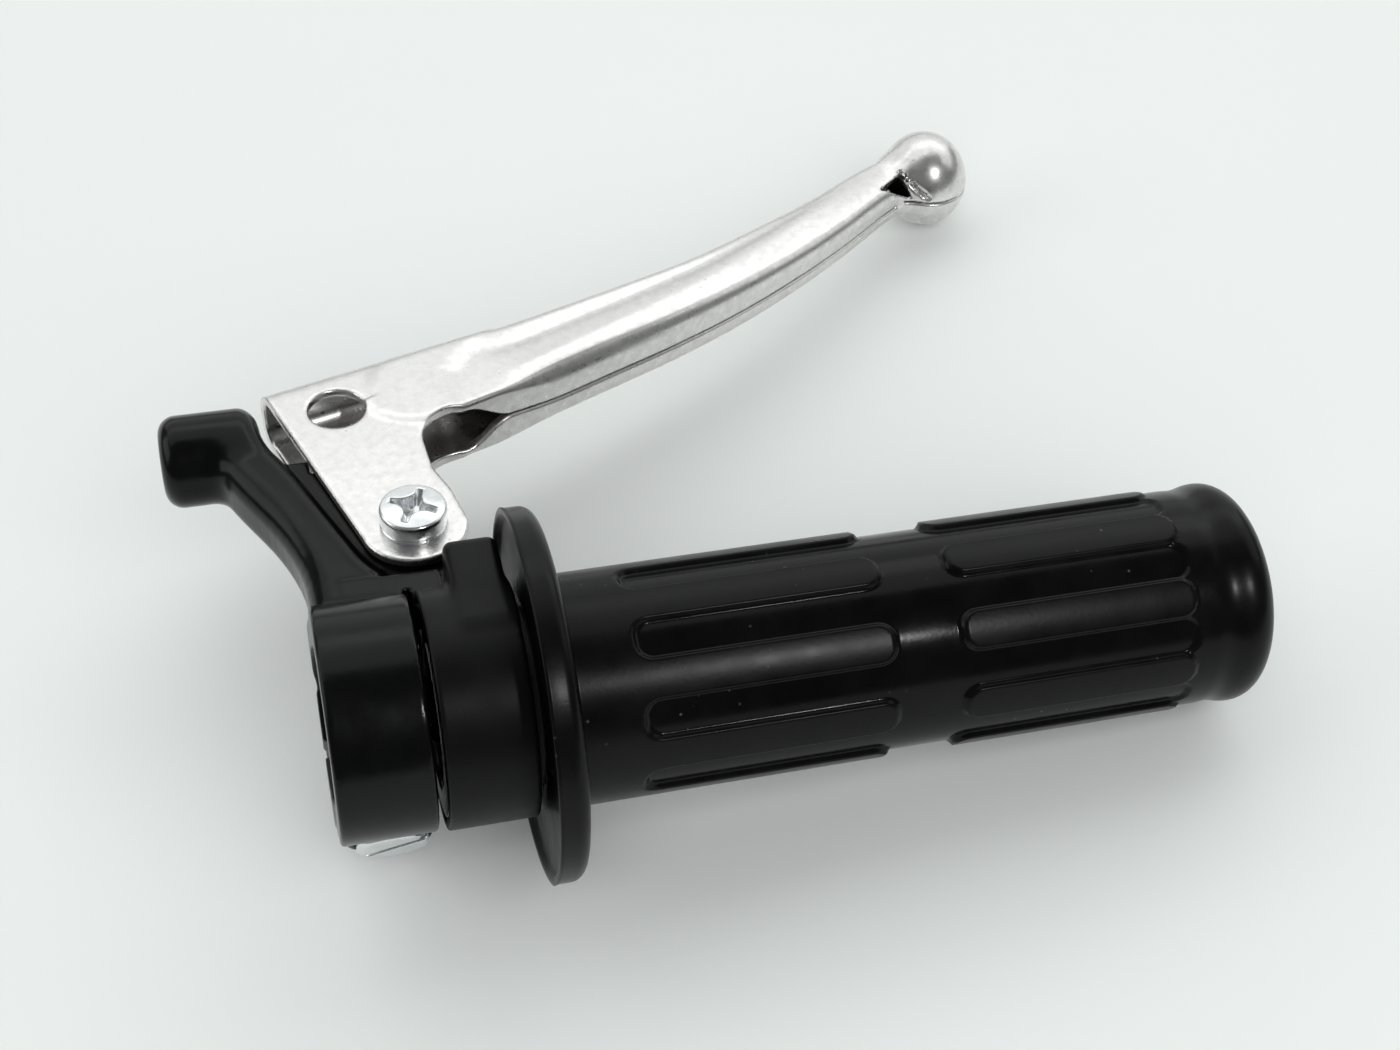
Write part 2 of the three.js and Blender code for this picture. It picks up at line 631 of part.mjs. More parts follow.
const PIECES = [
  ['clamp_housing', clampHousing, ENAMEL],
  ['drum_cover', drumCover, COVER_PLASTIC],
  ['throttle_tube', throttleTube, TUBE_PLASTIC],
  ['grip_rubber', gripRubber, RUBBER],
  ['brake_lever', brakeLever, BRIGHT_STEEL],
  ['pivot_screw', pivotScrew, ZINC],
  ['pivot_bush', pivotBush, ZINC],
  ['pivot_washer', pivotWasher, ZINC],
  ['pivot_nut', pivotNut, ZINC],
  ['clamp_screw', clampScrew, ZINC],
  ['clamp_nut', clampNut, ZINC],
];

const throttle = new THREE.Group();
for (const [name, make, material] of PIECES) {
  const mesh = new THREE.Mesh(geometryOf(make()), material);
  mesh.name = name;
  throttle.add(mesh);
}

export default throttle;
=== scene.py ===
"""Looks for the twist throttle control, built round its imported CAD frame.

Each visible piece is a solid described by a signed distance (negative inside, in millimetres, in the
CAD's own frame), which is meshed on a grid and then pulled onto the exact surface. The rubber grip is
a surface of revolution with its tread pads raised from it.
"""

import json
import math

import bpy
import numpy as np
from mathutils import Matrix, Vector


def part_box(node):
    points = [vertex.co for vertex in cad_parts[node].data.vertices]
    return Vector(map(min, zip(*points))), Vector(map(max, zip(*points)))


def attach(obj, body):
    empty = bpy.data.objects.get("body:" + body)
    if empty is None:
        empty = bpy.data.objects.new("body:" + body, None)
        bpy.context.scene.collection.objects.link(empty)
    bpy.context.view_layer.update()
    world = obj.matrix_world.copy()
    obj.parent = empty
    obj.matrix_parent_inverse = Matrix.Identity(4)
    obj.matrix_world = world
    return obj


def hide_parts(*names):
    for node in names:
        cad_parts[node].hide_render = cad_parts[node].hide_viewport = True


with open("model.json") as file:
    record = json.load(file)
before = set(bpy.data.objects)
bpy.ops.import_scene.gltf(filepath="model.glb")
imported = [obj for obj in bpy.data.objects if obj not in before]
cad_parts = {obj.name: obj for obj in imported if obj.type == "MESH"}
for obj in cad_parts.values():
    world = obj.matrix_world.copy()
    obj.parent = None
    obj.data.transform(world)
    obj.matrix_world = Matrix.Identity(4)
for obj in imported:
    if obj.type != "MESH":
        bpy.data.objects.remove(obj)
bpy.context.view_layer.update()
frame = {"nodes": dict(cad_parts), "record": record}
RECORD = frame["record"]

# ---- driving places and sizes, in millimetres ----------------------------------------------------

M = 1000.0


def box_mm(node):
    """Lowest and highest corner of a CAD node, in millimetres."""
    low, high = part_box(node)
    return np.array(low) * M, np.array(high) * M


def mount_mm(name):
    """Where one of the record's mounts is, in millimetres."""
    found = [mount for mount in RECORD["mounts"] if mount["name"] == name]
    return np.array(found[0]["pos_m"]) * M


def joint_mm(name):
    """A point on a joint's axis, in millimetres."""
    found = [joint for joint in RECORD["behaviour"]["joints"] if joint["name"] == name]
    return np.array(found[0]["pos_m"]) * M


COVER_LOW, COVER_HIGH = box_mm("drum_cover")
GRIP_LOW, GRIP_HIGH = box_mm("grip_rubber")
SCREW_LOW, SCREW_HIGH = box_mm("pivot_screw")
NUT_LOW, NUT_HIGH = box_mm("pivot_nut")
WASHER_LOW, WASHER_HIGH = box_mm("pivot_washer")
DRUM_R = box_mm("throttle_tube")[1][1]
PIVOT = joint_mm("lever_pivot")
CABLE_STOP = mount_mm("brake_cable_stop")
WIRE_IN = mount_mm("throttle_cable_stop")

# Handlebar bore, clamp band, and the slit and ring beside the band
BORE_R = 11.15
CLAMP_R = 16.7
CLAMP_LEFT = mount_mm("inboard_face")[0]
CLAMP_RIGHT = 6.7
SLIT_RIGHT = COVER_LOW[0]
SLIT_END_Y = 16.6
RING_R = 15.0
RING_RIGHT = 13.4
RING_ROOT = 3.0
SPLIT_GAP = 2.4
SPLIT_DEEP = 8.0

# Clamp screw, across the split and turned down from the horizontal, with its lugs and nut
CLAMP_TILT = math.radians(25)
SCREW_REACH = 16.3
SCREW_X = 0.7
LUG_HEAD_SIDE = 11.4
LUG_NUT_SIDE = 8.0
LUG_BOTTOM = 21.0
LUG_DEEP = 9.0
LUG_INSET = 0.1
LUG_ROUND_R = 6.6
HEAD_POCKET = 1.8
CLAMP_HEAD_R = 5.2
CLAMP_HEAD_HIGH = 3.6
CLAMP_SHANK_R = 3.0
CLAMP_NUT_FLATS = 10.0
CLAMP_NUT_THICK = 5.0
SHANK_ROOM = 0.3
HEAD_ROOM = 0.5
SEAT_DEEP = 0.4
SEATED = 0.3
NUT_ROOM_END = -15.5

# Arm, block and tongue that carry the cable stop and the lever
ARM_LOW = -3.9
ARM_HIGH = 7.0
BLOCK_CORNER = (-2.0, 8.0, -5.0)
BLOCK_RIGHT = 12.6
BLOCK_OUT = 21.0
TONGUE_R = 7.3
BUSH_HOLE_R = 3.7
PLATE_GAP = 0.3

# Lever, folded from one sheet
SHEET = 1.5
LEVER_TOP = 7.1
LEVER_TALL = 11.0
LEVER_MID = LEVER_TOP - LEVER_TALL / 2
LEVER_BOTTOM = LEVER_TOP - LEVER_TALL
EAR_R = 8.0
PIVOT_HOLE_R = 2.65
NIPPLE_HOLE = (2.3, 58.9)
NIPPLE_HOLE_R = 4.5
BALL = (118.5, 113.4, 0.4)
BALL_RADII = (7.9, 8.7, 8.7)

# Cable stop at the end of the arm
STOP_R = 7.2
STOP_RIGHT = -10.4
STOP_AXIS = (57.3, LEVER_MID)
CABLE_SEAT_R = 2.7
CABLE_SEAT_DEEP = 8.0
WIRE_R = 1.4
WIRE_BEYOND = 8.0

# Drum cover
COVER_R = -COVER_LOW[1]
COVER_WALL = 1.5
COVER_MOUTH_R = DRUM_R - 1.95
COVER_NOTCH_Y = 7.5
COVER_NOTCH_LOW = -5.3
COVER_GAP = 0.15
COVER_FAR = 60.0
COVER_SEAT_DEEP = 6.0
LOBE_LEFT = 12.6
LOBE_INSIDE = -2.0
LOBE_OUT = COVER_HIGH[1]
LOBE_WIRE_Z = 12.4

# Directions of the viewer that the ball's opening faces, in degrees, which the camera shares
VIEW_AZIMUTH = -16.28
VIEW_ELEVATION = 43.13
VIEW_ROLL = 3.44

# ---- signed distances ----------------------------------------------------------------------------


def both(a, b, edge=0.0):
    """What lies inside both shapes, with the edge between them rounded."""
    a = a + edge
    b = b + edge
    outside = np.hypot(np.maximum(a, 0), np.maximum(b, 0))
    return np.minimum(np.maximum(a, b), 0) + outside - edge


def merge(a, b, fillet):
    """Two shapes joined with a fillet between them."""
    share = np.clip(0.5 + 0.5 * (b - a) / fillet, 0, 1)
    return b + (a - b) * share - fillet * share * (1 - share)


def carve(a, b, edge=0.01):
    """The first shape with the second cut out of it, its new edges rounded."""
    return -merge(-a, b, edge)


def ramp(low, high, value):
    """Smooth step from 0 at low to 1 at high."""
    t = np.clip((value - low) / (high - low), 0, 1)
    return t * t * (3 - 2 * t)


def slab(value, low, high):
    """Distance to the layer between two values."""
    return np.abs(value - (low + high) / 2) - (high - low) / 2


def block(x, y, z, low, high, edge=0.0):
    """Box between two corners, with rounded edges."""
    parts = [slab(v, a, b) + edge for v, a, b in zip((x, y, z), low, high)]
    outside = np.sqrt(sum(np.maximum(part, 0) ** 2 for part in parts))
    inside = np.minimum(np.maximum(np.maximum(parts[0], parts[1]), parts[2]), 0)
    return outside + inside - edge


def polygon(x, y, points):
    """Distance to a closed outline in a plane."""
    nearest = np.full(np.broadcast(x, y).shape, 1e9)
    crossings = np.zeros(nearest.shape, bool)
    for (ax, ay), (bx, by) in zip(points, points[-1:] + points[:-1]):
        ex = bx - ax
        ey = by - ay
        wx = x - ax
        wy = y - ay
        t = np.clip((wx * ex + wy * ey) / (ex * ex + ey * ey), 0, 1)
        nearest = np.minimum(nearest, (wx - ex * t) ** 2 + (wy - ey * t) ** 2)
        spans = (ay > y) != (by > y)
        if ey != 0:
            crossings ^= spans & (wx < ex * wy / ey)
    return np.where(crossings, -1.0, 1.0) * np.sqrt(nearest)


def arc(centre, radius, start, end, steps=16):
    """Points along a round stretch of an outline, with its angles in degrees."""
    turns = np.radians(np.linspace(start, end, steps))
    return [(centre[0] + radius * math.cos(t), centre[1] + radius * math.sin(t)) for t in turns]


def eased(corners, reach):
    """The same outline with every corner turned into a short curve."""
    out = []
    for i, corner in enumerate(corners):
        here = np.array(corner, float)
        ends = []
        for other in (corners[i - 1], corners[(i + 1) % len(corners)]):
            side = np.array(other, float) - here
            length = np.hypot(*side)
            ends.append(here + side * min(reach / length, 0.45))
        for t in (0.0, 0.25, 0.5, 0.75, 1.0):
            out.append(tuple((1 - t) ** 2 * ends[0] + 2 * t * (1 - t) * here + t ** 2 * ends[1]))
    return out


def smooth_line(stations, per_span=8):
    """Catmull-Rom curve through rows of numbers."""
    rows = np.array(stations)
    padded = np.vstack([2 * rows[0] - rows[1], rows, 2 * rows[-1] - rows[-2]])
    out = []
    for i in range(len(rows) - 1):
        a, b, c, d = padded[i:i + 4]
        for k in range(per_span):
            t = k / per_span
            out.append(0.5 * (2 * b + (c - a) * t + (2 * a - 5 * b + 4 * c - d) * t ** 2
                              + (3 * b - a - 3 * c + d) * t ** 3))
    out.append(rows[-1])
    return np.array(out)


def along(x, y, line):
    """Signed distance across a curve in plan, positive on its left, and the place along it."""
    shape = np.broadcast(x, y).shape
    nearest = np.full(shape, 1e18)
    across = np.zeros(shape)
    place = np.zeros(shape)
    for i in range(len(line) - 1):
        ax, ay = line[i][:2]
        ex, ey = line[i + 1][:2] - line[i][:2]
        wx = x - ax
        wy = y - ay
        t = np.clip((wx * ex + wy * ey) / (ex * ex + ey * ey), 0, 1)
        far = (wx - ex * t) ** 2 + (wy - ey * t) ** 2
        closer = far < nearest
        nearest = np.where(closer, far, nearest)
        side = np.where(ex * wy - ey * wx > 0, 1.0, -1.0)
        across = np.where(closer, side * np.sqrt(far), across)
        place = np.where(closer, i + t, place)
    return across, place


# ---- from distances to meshes --------------------------------------------------------------------

CORNERS = [(i, j, k) for i in (0, 1) for j in (0, 1) for k in (0, 1)]
CELL_EDGES = [(a, b) for a in range(8) for b in range(a + 1, 8)
              if sum(abs(p - q) for p, q in zip(CORNERS[a], CORNERS[b])) == 1]


def surface_net(values, low, pitch):
    """Vertices and four-sided faces of the zero surface of a grid of distances."""
    cells = tuple(n - 1 for n in values.shape)
    at_corner = [values[i:i + cells[0], j:j + cells[1], k:k + cells[2]] for i, j, k in CORNERS]
    inside = sum((c < 0).astype(np.int8) for c in at_corner)
    crossed = (inside > 0) & (inside < 8)
    index = np.full(cells, -1)
    index[crossed] = np.arange(crossed.sum())
    corner_values = np.stack([c[crossed] for c in at_corner])
    total = np.zeros((crossed.sum(), 3))
    count = np.zeros(crossed.sum())
    for a, b in CELL_EDGES:
        va = corner_values[a]
        vb = corner_values[b]
        cut = (va < 0) != (vb < 0)
        t = np.where(cut, va / np.where(cut, va - vb, 1), 0)
        point = np.array(CORNERS[a]) + t[:, None] * (np.array(CORNERS[b]) - np.array(CORNERS[a]))
        total += np.where(cut[:, None], point, 0)
        count += cut
    vertices = np.array(low) + pitch * (np.argwhere(crossed) + total / count[:, None])
    faces = []
    for axis in range(3):
        u, v = (axis + 1) % 3, (axis + 2) % 3
        inner = [slice(1, -1)] * 3
        inner[axis] = slice(0, -1)
        ahead = list(inner)
        ahead[axis] = slice(1, None)
        start = values[tuple(inner)] < 0
        end = values[tuple(ahead)] < 0
        for flip, change in ((False, start & ~end), (True, ~start & end)):
            at = np.argwhere(change)
            at[:, u] += 1
            at[:, v] += 1
            ring = []
            for du, dv in ((-1, -1), (0, -1), (0, 0), (-1, 0)):
                cell = at.copy()
                cell[:, u] += du
                cell[:, v] += dv
                ring.append(index[tuple(cell.T)])
            quads = np.stack(ring, 1)
            faces.append(quads[:, ::-1] if flip else quads)
    return vertices, np.concatenate(faces)


def pull_onto(field, vertices, pitch, rounds=3):
    """Moves vertices along the field's gradient until they lie on its zero surface."""
    step = 0.02
    for _ in range(rounds):
        x, y, z = vertices.T
        value = field(x, y, z)
        slope = np.stack([
            field(x + step, y, z) - field(x - step, y, z),
            field(x, y + step, z) - field(x, y - step, z),
            field(x, y, z + step) - field(x, y, z - step),
        ], 1) / (2 * step)
        size = np.maximum((slope ** 2).sum(1), 0.25)
        move = -slope * (value / size)[:, None]
        length = np.linalg.norm(move, axis=1)
        limit = np.minimum(1, 0.35 * pitch / np.maximum(length, 1e-9))
        vertices = vertices + move * limit[:, None]
    return vertices


def mesh_object(name, vertices, faces, material):
    """Blender mesh from vertices in millimetres and faces, shaded smooth."""
    mesh = bpy.data.meshes.new(name)
    mesh.from_pydata((np.asarray(vertices) / M).tolist(), [], np.asarray(faces).tolist())
    mesh.validate()
    mesh.polygons.foreach_set("use_smooth", [True] * len(mesh.polygons))
    mesh.materials.append(material)
    mesh.update()
    obj = bpy.data.objects.new(name, mesh)
    bpy.context.collection.objects.link(obj)
    return obj


def solid_piece(name, field, low, high, pitch, material):
    """Meshes a distance field between two corners."""
    low = np.array(low, float) - 2.5 * pitch
    counts = np.ceil((np.array(high) + 2.5 * pitch - low) / pitch).astype(int) + 1
    axes = [low[i] + pitch * np.arange(counts[i]) for i in range(3)]
    x, y, z = np.meshgrid(*axes, indexing="ij", sparse=True)
    values = np.broadcast_to(field(x, y, z), counts)
    vertices, faces = surface_net(values, low, pitch)
    vertices = pull_onto(field, vertices, pitch)
    return mesh_object(name, vertices, faces, material)


# ---- the clamp housing ---------------------------------------------------------------------------

ARM_OUTLINE = eased([
    (CLAMP_LEFT + 0.4, 4), (CLAMP_RIGHT, 4), (CLAMP_RIGHT, 21.8), (3.4, 25.2), (0.3, 33.2),
    (-6.0, 49.5), (STOP_RIGHT, 57.5), (STOP_RIGHT, 60.5), (-17.5, 60.5), (-17.5, 52.5),
    (-15.6, 47.4), (-9.3, 35.2), (CLAMP_LEFT + 0.4, 25.5),
], 5.0)
TONGUE_ROOT = [
    (2.5, 14), (BLOCK_RIGHT, 14), (PIVOT[0] + TONGUE_R, PIVOT[1]), (PIVOT[0] - TONGUE_R, PIVOT[1]),
]
TONGUE_WEB = [
    (0, 18), (8, 20), (5.6, 36), (3, 46.8), (-3.2, 46.8), (-3.2, 49.5), (-6.5, 49.5), (-3.4, 36),
]


def screw_frame(x, y, z):
    """Coordinates along the clamp screw towards its head, along the bar, and out from the bar."""
    along_screw = -y * math.cos(CLAMP_TILT) - z * math.sin(CLAMP_TILT)
    outward = y * math.sin(CLAMP_TILT) - z * math.cos(CLAMP_TILT)
    return along_screw, x - SCREW_X, outward - SCREW_REACH


def cable_arm(x, y, z):
    """The arm, and the round stop for the brake cable at its end."""
    arm = both(polygon(x, y, ARM_OUTLINE), slab(z, ARM_LOW, ARM_HIGH), 3.8)
    from_wire = np.hypot(y - STOP_AXIS[0], z - STOP_AXIS[1])
    stop = both(from_wire - STOP_R, slab(x, CABLE_STOP[0], STOP_RIGHT), 2.8)
    return merge(arm, stop, 2.5)


def cable_way(x, y, z):
    """Seat for the brake cable's casing, and the thinner hole behind it for its wire."""
    from_wire = np.hypot(y - STOP_AXIS[0], z - STOP_AXIS[1])
    wire = np.maximum(from_wire - WIRE_R, x - STOP_RIGHT - WIRE_BEYOND)
    seat = np.maximum(from_wire - CABLE_SEAT_R, x - CABLE_STOP[0] - CABLE_SEAT_DEEP)
    return np.minimum(wire, seat)


def lever_perch(x, y, z):
    """The block beside the ring, and the flat tongue that goes between the lever's plates."""
    perch = block(x, y, z, BLOCK_CORNER, (BLOCK_RIGHT, BLOCK_OUT, ARM_HIGH), 0.7)
    from_pivot = np.hypot(x - PIVOT[0], y - PIVOT[1])
    plan = np.minimum(from_pivot - TONGUE_R, polygon(x, y, TONGUE_ROOT))
    plan = merge(plan, polygon(x, y, TONGUE_WEB), 1.0)
    low = LEVER_BOTTOM + SHEET + PLATE_GAP
    high = LEVER_TOP - SHEET - PLATE_GAP
    tongue = both(plan, slab(z, low, high), 0.4)
    return merge(perch, tongue, 0.5)


def screw_lugs(x, y, z):
    """The lugs on each side of the split, rounded about the clamp screw."""
    along_screw, beside, out = screw_frame(x, y, z)
    square = both(slab(along_screw, -LUG_NUT_SIDE, LUG_HEAD_SIDE),
                  slab(out, -LUG_DEEP, LUG_BOTTOM - SCREW_REACH), 2.4)
    rounded = both(np.hypot(beside, out) - LUG_ROUND_R,
                   slab(along_screw, -LUG_NUT_SIDE, LUG_HEAD_SIDE + HEAD_POCKET), 0.5)
    lugs = merge(square, rounded, 0.6)
    return both(lugs, slab(x, CLAMP_LEFT + LUG_INSET, CLAMP_RIGHT - LUG_INSET), 0.5)


def saw_slit(x, y):
    """The slit that frees the clamp band from the ring, with a round end."""
    half = (SLIT_RIGHT - CLAMP_RIGHT) / 2
    from_end = np.hypot(np.maximum(y - SLIT_END_Y, 0), x - CLAMP_RIGHT - half)
    return np.maximum(slab(x, CLAMP_RIGHT, SLIT_RIGHT), from_end - half)


def cut_for_screw(body, x, y, z):
    """A casting with the band's split and the room for the clamp screw and its nut cut out."""
    along_screw, beside, out = screw_frame(x, y, z)
    from_screw = np.hypot(beside, out)
    split = np.maximum(slab(along_screw, -SPLIT_GAP / 2, SPLIT_GAP / 2), -out - SPLIT_DEEP)
    shank = np.maximum(from_screw - CLAMP_SHANK_R - SHANK_ROOM, NUT_ROOM_END - along_screw)
    head = np.maximum(from_screw - CLAMP_HEAD_R - HEAD_ROOM, LUG_HEAD_SIDE - SEAT_DEEP - along_screw)
    nut = np.maximum(from_screw - CLAMP_NUT_FLATS / math.sqrt(3) - HEAD_ROOM,
                     slab(along_screw, NUT_ROOM_END, SEAT_DEEP - LUG_NUT_SIDE))
    body = carve(body, split, 0.4)
    body = carve(body, shank)
    body = carve(body, head, 0.4)
    return carve(body, nut, 0.4)


def housing_field(x, y, z):
    """The casting: clamp band, arm, lugs, ring and perch, with all that is cut out of them."""
    bar = np.hypot(y, z)
    band = both(bar - CLAMP_R, slab(x, CLAMP_LEFT, CLAMP_RIGHT), 0.7)
    ring = both(bar - RING_R, slab(x, SLIT_RIGHT - RING_ROOT, RING_RIGHT), 0.4)
    body = merge(band, cable_arm(x, y, z), 2.2)
    body = merge(body, screw_lugs(x, y, z), 1.2)
    body = merge(body, ring, 0.5)
    body = merge(body, lever_perch(x, y, z), 0.6)
    body = carve(body, bar - BORE_R, 0.3)
    body = carve(body, saw_slit(x, y), 0.25)
    body = cut_for_screw(body, x, y, z)
    body = carve(body, np.hypot(x - PIVOT[0], y - PIVOT[1]) - BUSH_HOLE_R)
    return carve(body, cable_way(x, y, z), 0.5)


# ---- the drum cover ------------------------------------------------------------------------------


def cover_field(x, y, z):
    """A thin round shell with a square corner, which the throttle cable comes in through."""
    bar = np.hypot(y, z)
    right = COVER_HIGH[0]
    shell = both(bar - COVER_R, slab(x, COVER_LOW[0], right), 0.35)
    corner = both(slab(y, LOBE_INSIDE, LOBE_OUT), slab(z, LOBE_INSIDE, LOBE_OUT), 2.8)
    lobe = both(corner, slab(x, LOBE_LEFT, right - 0.4), 1.3)
    body = merge(shell, lobe, 1.6)
    body = carve(body, np.maximum(bar - COVER_R + COVER_WALL, x - right + COVER_WALL))
    body = carve(body, bar - COVER_MOUTH_R, 0.3)
    perch = block(x, y, z, (0, COVER_NOTCH_Y, COVER_NOTCH_LOW),
                  (BLOCK_RIGHT + COVER_GAP, COVER_FAR, ARM_HIGH + COVER_GAP))
    tongue = block(x, y, z, (0, COVER_NOTCH_Y, LEVER_BOTTOM + SHEET),
                   (BLOCK_RIGHT + 2, COVER_FAR, LEVER_TOP - SHEET))
    body = carve(body, np.minimum(perch, tongue), 0.4)
    from_wire = np.hypot(x - WIRE_IN[0], z - LOBE_WIRE_Z)
    wire = np.maximum(from_wire - WIRE_R, -y)
    seat = np.maximum(from_wire - CABLE_SEAT_R, LOBE_OUT - COVER_SEAT_DEEP - y)
    return carve(body, np.minimum(wire, seat), 0.4)


# ---- the brake lever -----------------------------------------------------------------------------

# Blade stations: centre line in plan, width, height and middle height
BLADE = (
    (15.0, 62.9, 17.8, 11.0, LEVER_MID),
    (24.0, 66.0, 17.5, 11.0, LEVER_MID),
    (34.0, 69.5, 16.5, 11.0, LEVER_MID),
    (46.0, 74.2, 15.4, 11.0, LEVER_MID),
    (58.0, 79.2, 14.6, 10.8, 1.5),
    (70.0, 85.0, 13.5, 10.4, 1.3),
    (82.0, 92.2, 12.8, 9.8, 1.0),
    (94.0, 100.1, 11.6, 9.2, 0.8),
    (105.0, 108.2, 10.4, 8.6, 0.6),
    (112.0, 112.6, 9.8, 8.4, 0.5),
)
SPAN = 8
BLADE_LINE = smooth_line([row[:2] for row in BLADE], SPAN)
BLADE_SIZES = smooth_line([row[2:] for row in BLADE], SPAN)
BLADE_PLACES = np.arange(len(BLADE_LINE))
FOLD_R = 4.4
NOSE_R = 4.6
REAR_EDGE = 0.8
CREST_START = -5.6
CREST_END = 1.0
BALL_FILLET = 3.0
MOUTH_WIDE = 8.2
MOUTH_DEEP = 4.5
LIPS_APART = 0.45

# The root's outer corners lie beyond the trim, which gives it its ears and its throat
ROOT_OUTLINE = [
    (-18, 64.15), (15, 73.35), (22, 75.0), (31, 77.2), (29, 71), (23, 64), (24, 15), (-18, 15),
]
TRIM_OUTLINE = (
    [(-13.5, 80), (-9.2, 66.6), (PIVOT[0] - EAR_R + 0.4, PIVOT[1] - 2.2)]
    + arc(PIVOT, EAR_R, 195, 356)
    + [(16.9, 37.2), (14.9, 42.6)]
    + arc((21.0, 49.4), 6.5, 186, 84)
    + [(23.4, 56.2), (25.2, 56.5), (27, 56.2), (30, 53), (40, 50), (140, 80), (140, 140), (-13.5, 140)]
)

# Where the ball's two half shells meet the blade's lips, seen square on to the opening
OPENING_OUTLINE = [(-9.2, -4.6), (-5.4, -1.0), (-2.9, -4.9)]
FLAP_OUTLINE = [(-5.2, -0.4), (0.4, -4.9), (0.0, -5.3), (-5.6, -0.9)]


def looking_from(azimuth, elevation):
    """Unit vectors towards a viewer at two angles in degrees, then to their right and up."""
    turn = math.radians(azimuth)
    rise = math.radians(elevation)
    back = Vector((math.sin(turn) * math.cos(rise), -math.cos(turn) * math.cos(rise), math.sin(rise)))
    right = Vector((0, 0, 1)).cross(back).normalized()
    return back, right, back.cross(right)


def blade_fold(x, y, z, inset):
    """The blade's closed section, shrunk by the sheet's thickness for its inside.

    The top is flat in front of a crest line and falls away behind it to the two folded lips.
    """
    across, place = along(x, y, BLADE_LINE)
    wide, tall, middle = (np.interp(place, BLADE_PLACES, BLADE_SIZES[:, i]) for i in range(3))
    half_wide = wide / 2
    half = tall / 2
    started = ramp(1.0 * SPAN, 2.3 * SPAN, place)
    crest = CREST_START + (CREST_END - CREST_START) * np.clip(place / (6 * SPAN) - 0.15, 0, 1)
    behind = np.clip((crest - across) / (half_wide + crest), 0, 1)
    fall = started * half * (0.04 * behind + 0.19 * behind ** 3)
    crown = 0.14 * np.exp(-((across - crest) / 1.8) ** 2)
    hollow = 0.45 * np.exp(-((across - 0.45 * half_wide - 0.5 * crest) / 1.7) ** 2)
    swell = ramp(1.1 * SPAN, 2.2 * SPAN, place) * ramp(8.6 * SPAN, 6.5 * SPAN, place)
    top = half - fall + swell * (crown - hollow)
    low = half - started * half * 0.12 * behind ** 3
    tall_here = (top + low) / 2
    middle_here = middle + (top - low) / 2
    toward_front = np.clip(across / half_wide, 0, 1)
    edge = NOSE_R * toward_front + (REAR_EDGE + 1.2 * started) * (1 - toward_front) - inset
    section = both(np.abs(across) - half_wide + inset, np.abs(z - middle_here) - tall_here + inset,
                   np.clip(edge, 0.3, tall_here - inset - 0.2))
    return section, across + half_wide, place, middle_here - 0.12 * half * started


def folded_sheet(x, y, z):
    """The root and the blade as one folded sheet, open along the rear and trimmed to shape."""
    root = polygon(x, y, ROOT_OUTLINE)
    from_mid = np.abs(z - LEVER_MID)
    root_outer = both(root, from_mid - LEVER_TALL / 2, FOLD_R)
    root_inner = both(root + SHEET, from_mid - LEVER_TALL / 2 + SHEET, FOLD_R - SHEET)
    blade_outer, from_rear, place, middle = blade_fold(x, y, z, 0.0)
    blade_inner = blade_fold(x, y, z, SHEET)[0]
    shell = carve(merge(root_outer, blade_outer, 1.5), merge(root_inner, blade_inner, 1.5), 0.2)
    gap = MOUTH_WIDE - (MOUTH_WIDE - LIPS_APART) * ramp(0.5 * SPAN, 1.35 * SPAN, place)
    mouth = both(np.abs(z - middle) - gap / 2, from_rear - MOUTH_DEEP, 0.2)
    mouth = np.maximum(mouth, 0.2 * SPAN - place)
    shell = carve(shell, mouth, 0.35)
    return both(shell, polygon(x, y, TRIM_OUTLINE), 0.25)


def ball_distance(x, y, z):
    """Distance to the ball end, slightly longer across the lever than along it."""
    reach = np.maximum(np.sqrt(x ** 2 + y ** 2 + z ** 2), 1e-6)
    scaled = np.sqrt((x / BALL_RADII[0]) ** 2 + (y / BALL_RADII[1]) ** 2 + (z / BALL_RADII[2]) ** 2)
    return reach * (1 - 1 / np.maximum(scaled, 1e-6))


def with_ball(shell, x, y, z):
    """A lever with its hollow ball added, and the ball's seam, open corner and flap's edge cut."""
    bx, by, bz = x - BALL[0], y - BALL[1], z - BALL[2]
    from_ball = ball_distance(bx + 0.4, by, bz)
    body = carve(merge(shell, from_ball, BALL_FILLET), from_ball + SHEET)
    seam = np.maximum(np.maximum(np.abs(bz) - 0.17, -from_ball - 1.1), from_ball - 0.8)
    seam = np.maximum(seam, by - 0.3 * bx - 1.0)
    body = carve(body, seam, 0.4)
    out_axis, right_axis, up_axis = looking_from(VIEW_AZIMUTH, VIEW_ELEVATION)
    out = bx * out_axis.x + by * out_axis.y + bz * out_axis.z
    right = bx * right_axis.x + by * right_axis.y + bz * right_axis.z
    up = bx * up_axis.x + by * up_axis.y + bz * up_axis.z
    opening = both(polygon(right, up, OPENING_OUTLINE), 1.0 - out, 0.2)
    body = carve(body, opening, 0.35)
    flap_line = np.abs(polygon(right, up, FLAP_OUTLINE)) - 0.14
    flap_line = np.maximum(np.maximum(flap_line, 3.0 - out), -from_ball - 0.55)
    return carve(body, flap_line, 0.3)


def lever_field(x, y, z):
    """The whole lever, with its pivot holes and the hole that the cable's nipple goes in by."""
    body = with_ball(folded_sheet(x, y, z), x, y, z)
    body = carve(body, np.hypot(x - PIVOT[0], y - PIVOT[1]) - PIVOT_HOLE_R, 0.2)
    return carve(body, np.hypot(x - NIPPLE_HOLE[0], y - NIPPLE_HOLE[1]) - NIPPLE_HOLE_R, 0.3)


# ---- screws, nuts and the washer -----------------------------------------------------------------

